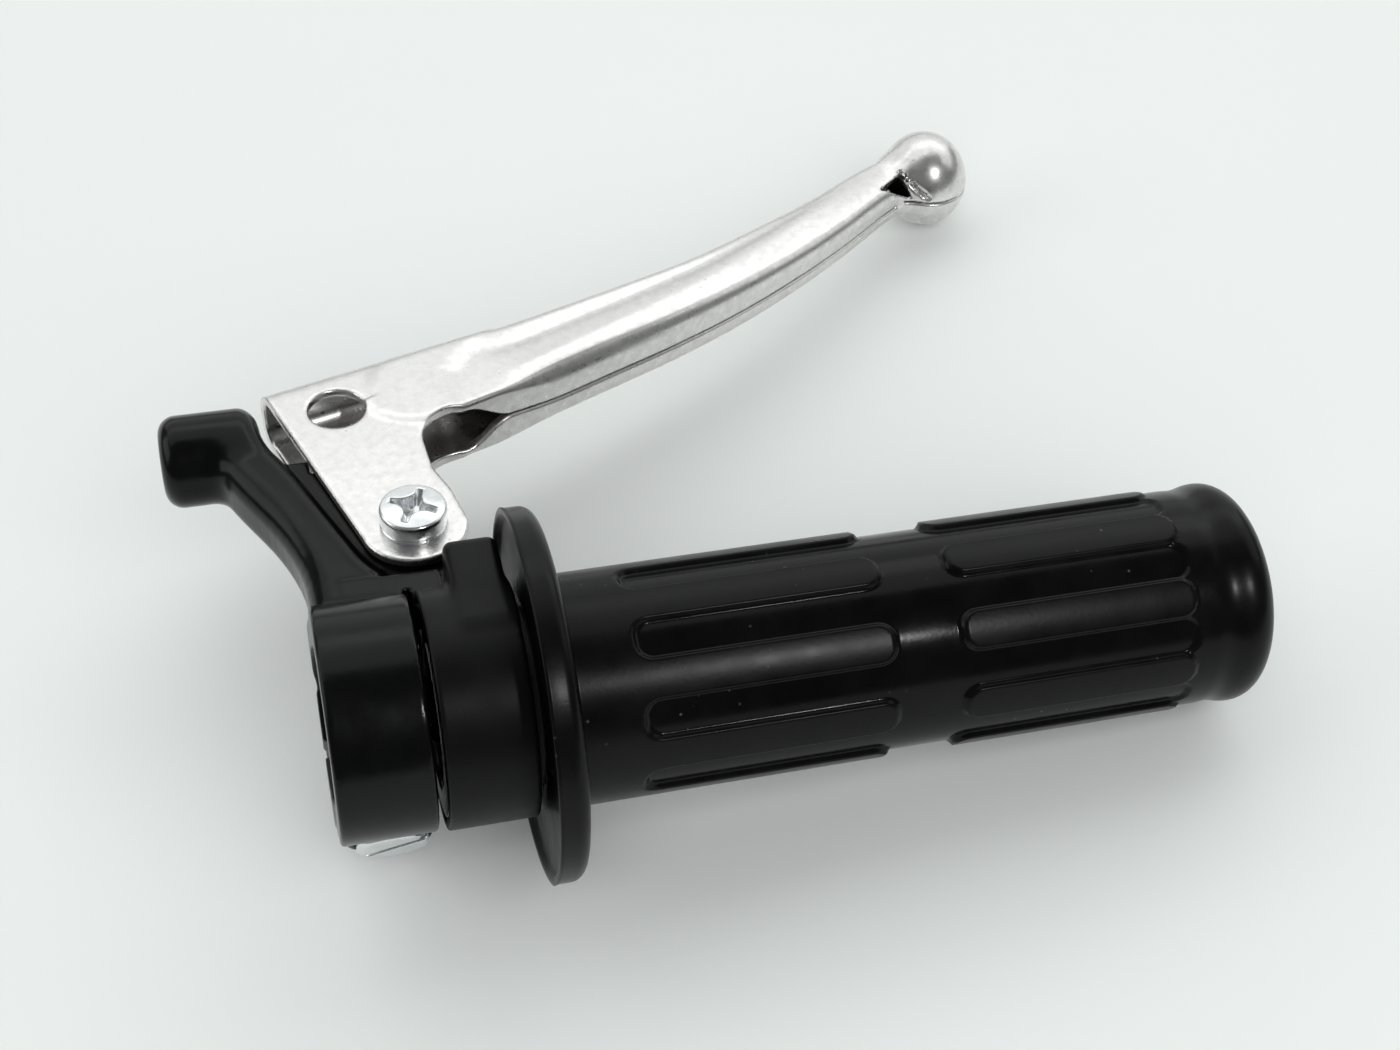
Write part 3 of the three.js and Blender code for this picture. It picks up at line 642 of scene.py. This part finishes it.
PIVOT_SHANK_R = 2.5
PIVOT_PITCH = 0.8
DOME_R = 20.0
RECESS_TURN = math.radians(-28)
RECESS_DEEP = 2.3
CLAMP_PITCH = 1.0
SLOT_TURN = math.radians(30)
SLOT_WIDE = 1.3
SLOT_DEEP = 1.5
CORNER_CUT = 0.62


def hexagon(x, y, flats):
    """Distance to a hexagon across its flats."""
    turns = [math.radians(60 * i) for i in range(3)]
    sides = [np.abs(x * math.cos(t) + y * math.sin(t)) for t in turns]
    return np.maximum(np.maximum(sides[0], sides[1]), sides[2]) - flats / 2


def thread(radius, place, pitch, deep):
    """Radius of a screw thread's ridged surface at a place along it."""
    wave = np.abs(2 * ((place / pitch) % 1) - 1)
    return radius - deep * wave


def cross_recess(x, y, deep):
    """A cross recess about the origin, whose four wings narrow with depth."""
    u = x * math.cos(RECESS_TURN) + y * math.sin(RECESS_TURN)
    v = -x * math.sin(RECESS_TURN) + y * math.cos(RECESS_TURN)
    reach = 4.1 - 0.9 * deep
    wings = np.minimum(both(np.abs(u) - reach, np.abs(v) - 0.55 + 0.1 * deep, 0.1),
                       both(np.abs(v) - reach, np.abs(u) - 0.55 + 0.1 * deep, 0.1))
    pocket = merge(wings, np.hypot(u, v) - 1.5 + 0.3 * deep, 1.5)
    return np.maximum(pocket, deep - RECESS_DEEP)


def pivot_screw_field(x, y, z):
    """Pan head screw with a cross recess, a domed top and a collar under its head."""
    px, py = x - PIVOT[0], y - PIVOT[1]
    out = np.hypot(px, py)
    top = SCREW_HIGH[2]
    under = LEVER_TOP + 0.05
    head_r = (SCREW_HIGH[0] - SCREW_LOW[0]) / 2
    dome = np.sqrt(out ** 2 + (z - top + DOME_R) ** 2) - DOME_R
    head = both(np.maximum(out - head_r, under - z), dome, 0.45)
    foot = both(out - head_r + 0.35, slab(z, under, under + 0.6), 0.15)
    waist = np.maximum(slab(z, under + 0.45, under + 0.75), head_r - 0.25 - out)
    head = np.minimum(carve(head, waist, 0.1), foot)
    head = carve(head, cross_recess(px, py, top - z), 0.25)
    helix = PIVOT_PITCH * np.arctan2(py, px) / (2 * math.pi)
    shank = np.where(z < LEVER_BOTTOM, thread(PIVOT_SHANK_R, z + helix, PIVOT_PITCH, 0.35), PIVOT_SHANK_R)
    return np.minimum(head, both(out - shank, slab(z, SCREW_LOW[2], under + 1), 0.3))


def pivot_nut_field(x, y, z):
    """Hexagon nut with its corners turned off at both ends."""
    px, py = x - PIVOT[0], y - PIVOT[1]
    out = np.hypot(px, py)
    flats = NUT_HIGH[1] - NUT_LOW[1]
    middle = (NUT_LOW[2] + NUT_HIGH[2]) / 2
    body = both(hexagon(py, px, flats), slab(z, NUT_LOW[2], NUT_HIGH[2]), 0.15)
    crown = out - flats * CORNER_CUT + 0.9 * np.maximum(np.abs(z - middle) - 1.3, 0)
    return carve(both(body, crown, 0.1), out - PIVOT_SHANK_R - 0.05, 0.3)


def pivot_washer_field(x, y, z):
    """Split spring washer."""
    px, py = x - PIVOT[0], y - PIVOT[1]
    out = np.hypot(px, py)
    radius = (WASHER_HIGH[0] - WASHER_LOW[0]) / 2
    ring = both(out - radius, slab(z, WASHER_LOW[2], WASHER_HIGH[2]), 0.2)
    split = np.maximum(np.abs(py - 0.5 * (z - WASHER_LOW[2])) - 0.3, -px)
    return carve(carve(ring, out - PIVOT_SHANK_R - 0.2, 0.2), split, 0.15)


def clamp_screw_field(x, y, z):
    """Slotted cheese head screw."""
    along_screw, beside, out = screw_frame(x, y, z)
    radius = np.hypot(beside, out)
    seat = LUG_HEAD_SIDE - SEATED
    top = seat + CLAMP_HEAD_HIGH
    head = both(radius - CLAMP_HEAD_R, slab(along_screw, seat, top), 0.7)
    across_slot = np.abs(out * math.cos(SLOT_TURN) + beside * math.sin(SLOT_TURN))
    head = carve(head, np.maximum(across_slot - SLOT_WIDE / 2, top - SLOT_DEEP - along_screw), 0.15)
    helix = CLAMP_PITCH * np.arctan2(out, beside) / (2 * math.pi)
    ridged = thread(CLAMP_SHANK_R, along_screw + helix, CLAMP_PITCH, 0.45)
    shank = np.where(along_screw < 2, ridged, CLAMP_SHANK_R)
    tip = -LUG_NUT_SIDE - CLAMP_NUT_THICK - 1.5
    return np.minimum(head, both(radius - shank, slab(along_screw, tip, seat + 1), 0.4))


def clamp_nut_field(x, y, z):
    """Hexagon nut on the far end of the clamp screw, with its corners turned off."""
    along_screw, beside, out = screw_frame(x, y, z)
    radius = np.hypot(beside, out)
    from_centre = np.abs(along_screw + LUG_NUT_SIDE - SEATED + CLAMP_NUT_THICK / 2)
    body = both(hexagon(out, beside, CLAMP_NUT_FLATS), from_centre - CLAMP_NUT_THICK / 2, 0.2)
    crown = radius - CLAMP_NUT_FLATS * CORNER_CUT + 0.9 * np.maximum(from_centre - 1.7, 0)
    return carve(both(body, crown, 0.1), radius - CLAMP_SHANK_R - 0.05, 0.3)


# ---- the rubber grip -----------------------------------------------------------------------------

GRIP_BORE_R = 12.8
GRIP_RIGHT = GRIP_HIGH[0]
LOW_R = 15.6
BAND_R = 16.05
PAD_R = 16.5
PADS = 9
PAD_PHASE = 3.0
PAD_HALF = 2.9
TREAD_SLOPE = 0.28
FAR_OUT = 9.0
ROW_1 = (35.4, 71.4)
ROW_2 = (81.2, 116.3)
DISC_R = GRIP_HIGH[1]
DISC_LEFT = GRIP_LOW[0]
DISC_THICK = 4.4
DISC_ROUND = 2.0
FLARE_START = 119.4
END_R = 16.5
END_ROUND = 3.9
END_WALL = 3.5


def tread_radius(x, turn):
    """Radius of the grip's body at a place along it and round it, and how raised it is there.

    The first row's pads run together on their left, and the second row's on their right, with
    slots left between them.
    """
    pitch = 2 * math.pi / PADS
    from_first = turn - math.radians(90 - PAD_PHASE)
    pad_arc = np.abs(((from_first + pitch / 2) % pitch - pitch / 2) * PAD_R)
    slot_arc = np.abs((from_first % pitch - pitch / 2) * PAD_R)
    slot_half = pitch * PAD_R / 2 - PAD_HALF
    pad_round = PAD_HALF * 0.85
    slot_round = slot_half * 0.8
    slot_1 = both(slab(x, ROW_1[0], 2 * GRIP_RIGHT), slot_arc - slot_half, slot_round)
    pad_1 = both(slab(x, 0, ROW_1[1]), pad_arc - PAD_HALF, pad_round)
    pad_2 = both(slab(x, *ROW_2), pad_arc - PAD_HALF, pad_round)
    slot_2 = both(slab(x, 0, ROW_2[1]), slot_arc - slot_half, slot_round)
    high_1 = np.where(x < sum(ROW_1) / 2, -slot_1, pad_1)
    band_2 = np.where(x > sum(ROW_2) / 2, -slot_2, FAR_OUT)
    raised = ramp(TREAD_SLOPE, -TREAD_SLOPE, high_1) + ramp(TREAD_SLOPE, -TREAD_SLOPE, pad_2)
    outer_band = ramp(TREAD_SLOPE, -TREAD_SLOPE, band_2)
    level = np.maximum(raised * (PAD_R - LOW_R), outer_band * (BAND_R - LOW_R))
    return LOW_R + level, level / (PAD_R - LOW_R)


def disc_profile():
    """Outer profile of the guard disc from its left face to the grip's body, as (x, radius)."""
    right = DISC_LEFT + DISC_THICK
    left_face = [
        (DISC_LEFT + 0.9, 18.0), (DISC_LEFT + 0.9, 24.6), (DISC_LEFT + 0.7, 25.1), (DISC_LEFT + 0.15, 25.5),
        (DISC_LEFT, 25.9), (DISC_LEFT, 26.3), (DISC_LEFT + 0.15, 26.75), (DISC_LEFT + 0.6, DISC_R),
    ]
    rim = [(right - DISC_ROUND + DISC_ROUND * math.sin(t), DISC_R - DISC_ROUND + DISC_ROUND * math.cos(t))
           for t in np.linspace(0, math.pi / 2, 8)]
    right_face = [(right, 24.0), (right - 0.3, 20.0), (right - 0.2, 18.0), (right + 0.3, 17.0)]
    return left_face + rim + right_face


def bore_profile():
    """The grip's inside from its end wall back to the disc's left face, as (x, radius)."""
    wall = GRIP_RIGHT - END_WALL
    return [
        (wall, 2.0), (wall, 8.0), (wall, GRIP_BORE_R - 0.4), (wall - 0.5, GRIP_BORE_R), (90, GRIP_BORE_R),
        (50, GRIP_BORE_R), (DISC_LEFT + 0.8, GRIP_BORE_R), (DISC_LEFT + 0.5, GRIP_BORE_R + 0.3),
        (DISC_LEFT + 0.5, 15.0),
    ]


def grip_rings(turns):
    """Rings of points from the bore's end, round the disc and along the tread, to the end flange.

    Each ring is its place along the grip, its radii and how raised it is, one value per turn.
    """
    same = np.ones(len(turns))
    rings = [(x * same, r * same, same) for x, r in bore_profile() + disc_profile()]
    step = 0.4
    for x in np.arange(DISC_LEFT + DISC_THICK + 0.9, FLARE_START, step):
        rings.append((x * same, *tread_radius(x * same, turns)))
    last_radius, last_high = tread_radius(FLARE_START * same, turns)
    flare_end = GRIP_RIGHT - END_ROUND
    for share in np.linspace(0, 1, 14):
        grown = ramp(0, 0.85, share)
        dip = 0.35 * math.sin(math.pi * share) ** 2
        radius = END_R * grown + (1 - grown) * last_radius - dip
        x = FLARE_START + share * (flare_end - FLARE_START)
        rings.append((x * same, radius, last_high * (1 - share) + 0.8 * share))
    for t in np.linspace(0, math.pi / 2, 12)[1:]:
        radius = END_R - END_ROUND + END_ROUND * math.cos(t)
        rings.append(((flare_end + END_ROUND * math.sin(t)) * same, radius * same, 0.8 * same))
    for radius in (11.0, 9.0, 6.0, 2.0):
        rings.append((GRIP_RIGHT * same, radius * same, 0.8 * same))
    return rings


def grip_mesh(material):
    """The grip as a closed skin, with an attribute that says where its tread is raised."""
    around = 480
    turns = np.linspace(0, 2 * math.pi, around, endpoint=False)
    rings = grip_rings(turns)
    vertices = np.concatenate([np.stack([x, -r * np.cos(turns), r * np.sin(turns)], 1) for x, r, _ in rings])
    high = np.concatenate([ring_high for _, _, ring_high in rings])
    here = np.arange(around)
    following = (here + 1) % around
    faces = []
    for start in range(0, (len(rings) - 1) * around, around):
        end = start + around
        faces += np.stack([start + here, end + here, end + following, start + following], 1).tolist()
    faces.append(here.tolist())
    faces.append((len(vertices) - 1 - here).tolist())
    mesh = bpy.data.meshes.new("grip")
    mesh.from_pydata((vertices / M).tolist(), [], faces)
    attribute = mesh.attributes.new("raised", "FLOAT", "POINT")
    attribute.data.foreach_set("value", high.astype(np.float32))
    mesh.polygons.foreach_set("use_smooth", [True] * len(mesh.polygons))
    mesh.materials.append(material)
    obj = bpy.data.objects.new("rubber_grip", mesh)
    bpy.context.collection.objects.link(obj)
    return obj


# ---- materials -----------------------------------------------------------------------------------


class Nodes:
    """A material being built, with short calls for its nodes."""

    def __init__(self, name):
        self.material = bpy.data.materials.new(name)
        self.material.use_nodes = True
        self.tree = self.material.node_tree
        self.shader = self.tree.nodes["Principled BSDF"]
        self.place = self.add("ShaderNodeTexCoord").outputs["Object"]

    def feed(self, socket, value):
        """Links a socket to another node's output, or sets it to a plain value."""
        if isinstance(value, bpy.types.NodeSocket):
            self.tree.links.new(value, socket)
        else:
            socket.default_value = value

    def add(self, kind, inputs=(), **settings):
        node = self.tree.nodes.new(kind)
        for key, value in settings.items():
            setattr(node, key, value)
        for key, value in dict(inputs).items():
            self.feed(node.inputs[key], value)
        return node

    def noise(self, scale, detail=3.0, rough=0.5):
        settings = {"Vector": self.place, "Scale": scale, "Detail": detail, "Roughness": rough}
        return self.add("ShaderNodeTexNoise", settings).outputs["Fac"]

    def dots(self, scale):
        """Distance to the nearest of scattered points."""
        return self.add("ShaderNodeTexVoronoi", {"Vector": self.place, "Scale": scale}).outputs["Distance"]

    def span(self, value, low, high, out_low, out_high):
        """A value's place between two numbers, stretched to lie between two others."""
        settings = {"Value": value, "From Min": low, "From Max": high, "To Min": out_low, "To Max": out_high}
        return self.add("ShaderNodeMapRange", settings).outputs["Result"]

    def mix(self, share, first, second):
        return self.add("ShaderNodeMix", {0: share, 6: first, 7: second}, data_type="RGBA").outputs[2]

    def math(self, operation, a, b):
        return self.add("ShaderNodeMath", {0: a, 1: b}, operation=operation).outputs[0]

    def set(self, **values):
        """Sets the shader's own inputs, with _ for a space in their names."""
        for key, value in values.items():
            self.feed(self.shader.inputs[key.replace("_", " ")], value)

    def bump(self, height, strength, distance):
        node = self.add("ShaderNodeBump", {"Height": height, "Strength": strength, "Distance": distance})
        self.feed(self.shader.inputs["Normal"], node.outputs["Normal"])


def rgb(red, green, blue):
    return (red, green, blue, 1)


def grey(value):
    return rgb(value, value, value)


def enamel():
    """Semi-gloss black enamel over a casting, with a faint orange peel."""
    n = Nodes("enamel")
    wear = n.noise(260.0, 4.0)
    peel = n.noise(900.0, 2.0)
    share = n.span(wear, 0.35, 0.75, 0, 1)
    n.set(Base_Color=n.mix(share, rgb(0.001, 0.001, 0.0011), rgb(0.0022, 0.0022, 0.0024)),
          Roughness=n.span(wear, 0.3, 0.8, 0.18, 0.27), Specular_IOR_Level=0.2)
    n.bump(peel, 0.05, 0.0002)
    return n.material


def moulded(name, base, rough, specular):
    """Matt moulded plastic with a fine grain."""
    n = Nodes(name)
    grain = n.noise(2600.0, 2.0)
    cloud = n.noise(120.0, 4.0)
    n.set(Base_Color=n.mix(n.span(cloud, 0.3, 0.75, 0, 1), grey(base * 0.75), grey(base * 1.3)),
          Roughness=n.span(cloud, 0.3, 0.7, rough - 0.05, rough + 0.07), Specular_IOR_Level=specular)
    n.bump(grain, 0.1, 0.0001)
    return n.material


def rubber():
    """Black rubber: glossy low surface, matt pads, and pale dust specks."""
    n = Nodes("rubber")
    high = n.add("ShaderNodeAttribute", attribute_name="raised").outputs["Fac"]
    cloud = n.noise(180.0, 4.0)
    speck = n.math("MULTIPLY", n.span(n.dots(420.0), 0.0, 0.11, 1, 0),
                   n.span(n.noise(60.0, 2.0), 0.52, 0.62, 0, 1))
    clean = n.mix(n.span(cloud, 0.3, 0.7, 0, 1), rgb(0.0012, 0.0011, 0.0011), rgb(0.003, 0.0028, 0.0028))
    matt = n.span(high, 0.1, 0.9, 0.16, 0.29)
    n.set(Base_Color=n.mix(n.math("MULTIPLY", speck, 0.35), clean, grey(0.3)),
          Roughness=n.math("ADD", matt, n.span(cloud, 0.3, 0.7, -0.03, 0.04)), Specular_IOR_Level=0.15)
    n.bump(n.noise(1500.0, 3.0), 0.06, 0.00015)
    return n.material


def bright_sheet():
    """Plated sheet, polished, with fine pits and a faint waviness."""
    n = Nodes("bright_lever")
    waves = n.noise(55.0, 2.0)
    fine = n.noise(700.0, 4.0, 0.6)
    pit = n.math("MULTIPLY", n.span(n.dots(480.0), 0.0, 0.16, 1, 0),
                 n.span(n.noise(90.0, 3.0), 0.47, 0.6, 0, 1))
    plate = n.mix(n.span(fine, 0.38, 0.68, 0, 1), rgb(0.8, 0.79, 0.78), rgb(0.7, 0.68, 0.67))
    n.set(Metallic=1.0, Base_Color=n.mix(pit, plate, rgb(0.5, 0.48, 0.47)),
          Roughness=n.span(fine, 0.3, 0.75, 0.24, 0.38))
    uneven = n.math("ADD", waves, n.math("MULTIPLY", fine, 0.06))
    n.bump(n.math("SUBTRACT", uneven, n.math("MULTIPLY", pit, 0.25)), 0.2, 0.0008)
    return n.material


def zinc():
    """Bright zinc plate with a fine roughness."""
    n = Nodes("zinc")
    cloud = n.noise(420.0, 4.0)
    share = n.span(cloud, 0.3, 0.7, 0, 1)
    n.set(Metallic=1.0, Base_Color=n.mix(share, rgb(0.74, 0.76, 0.77), rgb(0.87, 0.88, 0.89)),
          Roughness=n.span(cloud, 0.3, 0.7, 0.16, 0.3))
    n.bump(n.noise(1500.0, 2.0), 0.15, 0.0001)
    return n.material


def floor_paper():
    """Pale matt paper."""
    n = Nodes("floor_paper")
    share = n.span(n.noise(3.0, 2.0), 0.3, 0.7, 0, 1)
    n.set(Base_Color=n.mix(share, rgb(0.90, 0.915, 0.91), rgb(0.925, 0.94, 0.93)),
          Roughness=0.6, Specular_IOR_Level=0.2)
    return n.material


# ---- pieces --------------------------------------------------------------------------------------

ENAMEL = enamel()
COVER = moulded("cover_plastic", 0.002, 0.4, 0.16)
TUBE = moulded("tube_plastic", 0.02, 0.5, 0.4)
RUBBER = rubber()
BRIGHT = bright_sheet()
ZINC = zinc()

PIECES = (
    # name, field, CAD node, body, slot, material, grid pitch
    ("housing_casting", housing_field, "clamp_housing", "housing", "enamel", ENAMEL, 0.4),
    ("cover_shell", cover_field, "drum_cover", "housing", "cover_plastic", COVER, 0.4),
    ("stamped_lever", lever_field, "brake_lever", "lever", "bright_lever", BRIGHT, 0.4),
    ("pivot_pan_screw", pivot_screw_field, "pivot_screw", "housing", "zinc", ZINC, 0.16),
    ("pivot_hex_nut", pivot_nut_field, "pivot_nut", "housing", "zinc", ZINC, 0.18),
    ("pivot_spring_washer", pivot_washer_field, "pivot_washer", "housing", "zinc", ZINC, 0.18),
    ("clamp_slotted_screw", clamp_screw_field, "clamp_screw", "housing", "zinc", ZINC, 0.2),
    ("clamp_hex_nut", clamp_nut_field, "clamp_nut", "housing", "zinc", ZINC, 0.2),
)

for name, field, node, body, slot, material, pitch in PIECES:
    node_low, node_high = box_mm(node)
    piece = solid_piece(name, field, node_low, node_high, pitch, material)
    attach(piece, body)
    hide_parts(node)

grip = grip_mesh(RUBBER)
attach(grip, "throttle")
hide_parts("grip_rubber")

for node, material in (("throttle_tube", TUBE), ("pivot_bush", ZINC)):
    mesh = frame["nodes"][node].data
    mesh.materials.clear()
    mesh.materials.append(material)

# ---- floor, light and camera ---------------------------------------------------------------------

FLOOR_SIZE = 3.0
FLOOR_GAP = 0.15
SOFT_WHITE = (0.98, 1.0, 0.99)
TENT_COLOUR = (0.92, 0.96, 0.95, 1)
TENT_STRENGTH = 0.16
LIGHT_AIM = Vector((0.055, 0.03, 0.0))
CAMERA_AIM = Vector((0.0539, 0.02925, 0.0))
CAMERA_AWAY = 0.3175
CAMERA_LENS = 53.1026


def resting_plane():
    """Unit normal and height of the plane that the guard disc, the grip's end and the ball lie on."""
    disc_x = DISC_LEFT + DISC_THICK / 2
    end_x = GRIP_RIGHT - END_ROUND
    slope = -(DISC_R - END_R) / (end_x - disc_x)
    roll = -0.08
    for _ in range(20):
        n = Vector((slope, roll, 1)).normalized()
        across = math.hypot(n.y, n.z)
        disc = n.x * disc_x - DISC_R * across
        end = n.x * end_x - END_R * across
        ball = n.dot(Vector(BALL)) - BALL_RADII[2]
        slope += (disc - end) / (end_x - disc_x)
        roll += (disc - ball) / BALL[1]
    n = Vector((slope, roll, 1)).normalized()
    return n, n.x * disc_x - DISC_R * math.hypot(n.y, n.z)


def make_floor():
    """A flat sheet of paper, just under the resting plane."""
    normal, height = resting_plane()
    flat = normal.to_track_quat("Z", "Y").to_matrix()
    centre = normal * ((height - FLOOR_GAP) / M)
    signs = ((-1, -1), (1, -1), (1, 1), (-1, 1))
    corners = [flat @ Vector((a * FLOOR_SIZE, b * FLOOR_SIZE, 0)) + centre for a, b in signs]
    mesh = bpy.data.meshes.new("floor")
    mesh.from_pydata([tuple(corner) for corner in corners], [], [(0, 1, 2, 3)])
    mesh.materials.append(floor_paper())
    obj = bpy.data.objects.new("floor", mesh)
    bpy.context.collection.objects.link(obj)


def panel(name, direction, distance, size, radiance, colour=SOFT_WHITE):
    """Flat lamp seen from the part in a direction, with the brightness its surface shows."""
    data = bpy.data.lights.new(name, "AREA")
    data.shape = "RECTANGLE"
    data.size, data.size_y = size
    data.energy = radiance * math.pi * size[0] * size[1]
    data.color = colour
    toward = Vector(direction).normalized()
    obj = bpy.data.objects.new(name, data)
    obj.location = LIGHT_AIM + toward * distance
    obj.rotation_euler = (-toward).to_track_quat("-Z", "Y").to_euler()
    bpy.context.collection.objects.link(obj)
    return obj


def make_lights():
    """A pale tent, four soft panels, a soft fill from the front and a small lamp for the glints."""
    world = bpy.data.worlds.new("tent")
    world.use_nodes = True
    background = world.node_tree.nodes["Background"]
    background.inputs["Color"].default_value = TENT_COLOUR
    background.inputs["Strength"].default_value = TENT_STRENGTH
    bpy.context.scene.world = world
    panel("back_panel", (0.12, 0.80, 0.55), 0.9, (1.7, 0.8), 0.76)
    panel("top_panel", (-0.05, 0.42, 0.9), 0.95, (1.5, 0.72), 0.95)
    panel("left_panel", (-0.95, 0.15, 0.45), 0.9, (0.7, 0.5), 1.45)
    panel("right_panel", (0.95, 0.25, 0.75), 0.9, (0.7, 0.5), 0.8)
    fill = panel("fill_panel", (0.03, -0.75, 0.6), 0.8, (1.2, 0.7), 1.8)
    fill.visible_glossy = False
    lamp = panel("lamp", (0.24, -0.66, 0.71), 1.0, (0.045, 0.045), 330.0, (1, 1, 1))
    lamp.visible_diffuse = False


def make_camera():
    """Camera at the reference viewing angle: its direction, roll, distance and lens."""
    back, right, up = looking_from(VIEW_AZIMUTH, VIEW_ELEVATION)
    roll = math.radians(VIEW_ROLL)
    turned_right = math.cos(roll) * right + math.sin(roll) * up
    turned_up = -math.sin(roll) * right + math.cos(roll) * up
    data = bpy.data.cameras.new("camera")
    data.sensor_width = 36.0
    data.lens = CAMERA_LENS
    data.clip_start = 0.02
    data.clip_end = 20
    obj = bpy.data.objects.new("camera", data)
    turn = Matrix((turned_right, turned_up, back)).transposed()
    obj.matrix_world = Matrix.Translation(CAMERA_AIM + back * CAMERA_AWAY) @ turn.to_4x4()
    bpy.context.collection.objects.link(obj)
    bpy.context.scene.camera = obj


make_floor()
make_lights()
make_camera()
bpy.context.scene.view_settings.view_transform = "Standard"
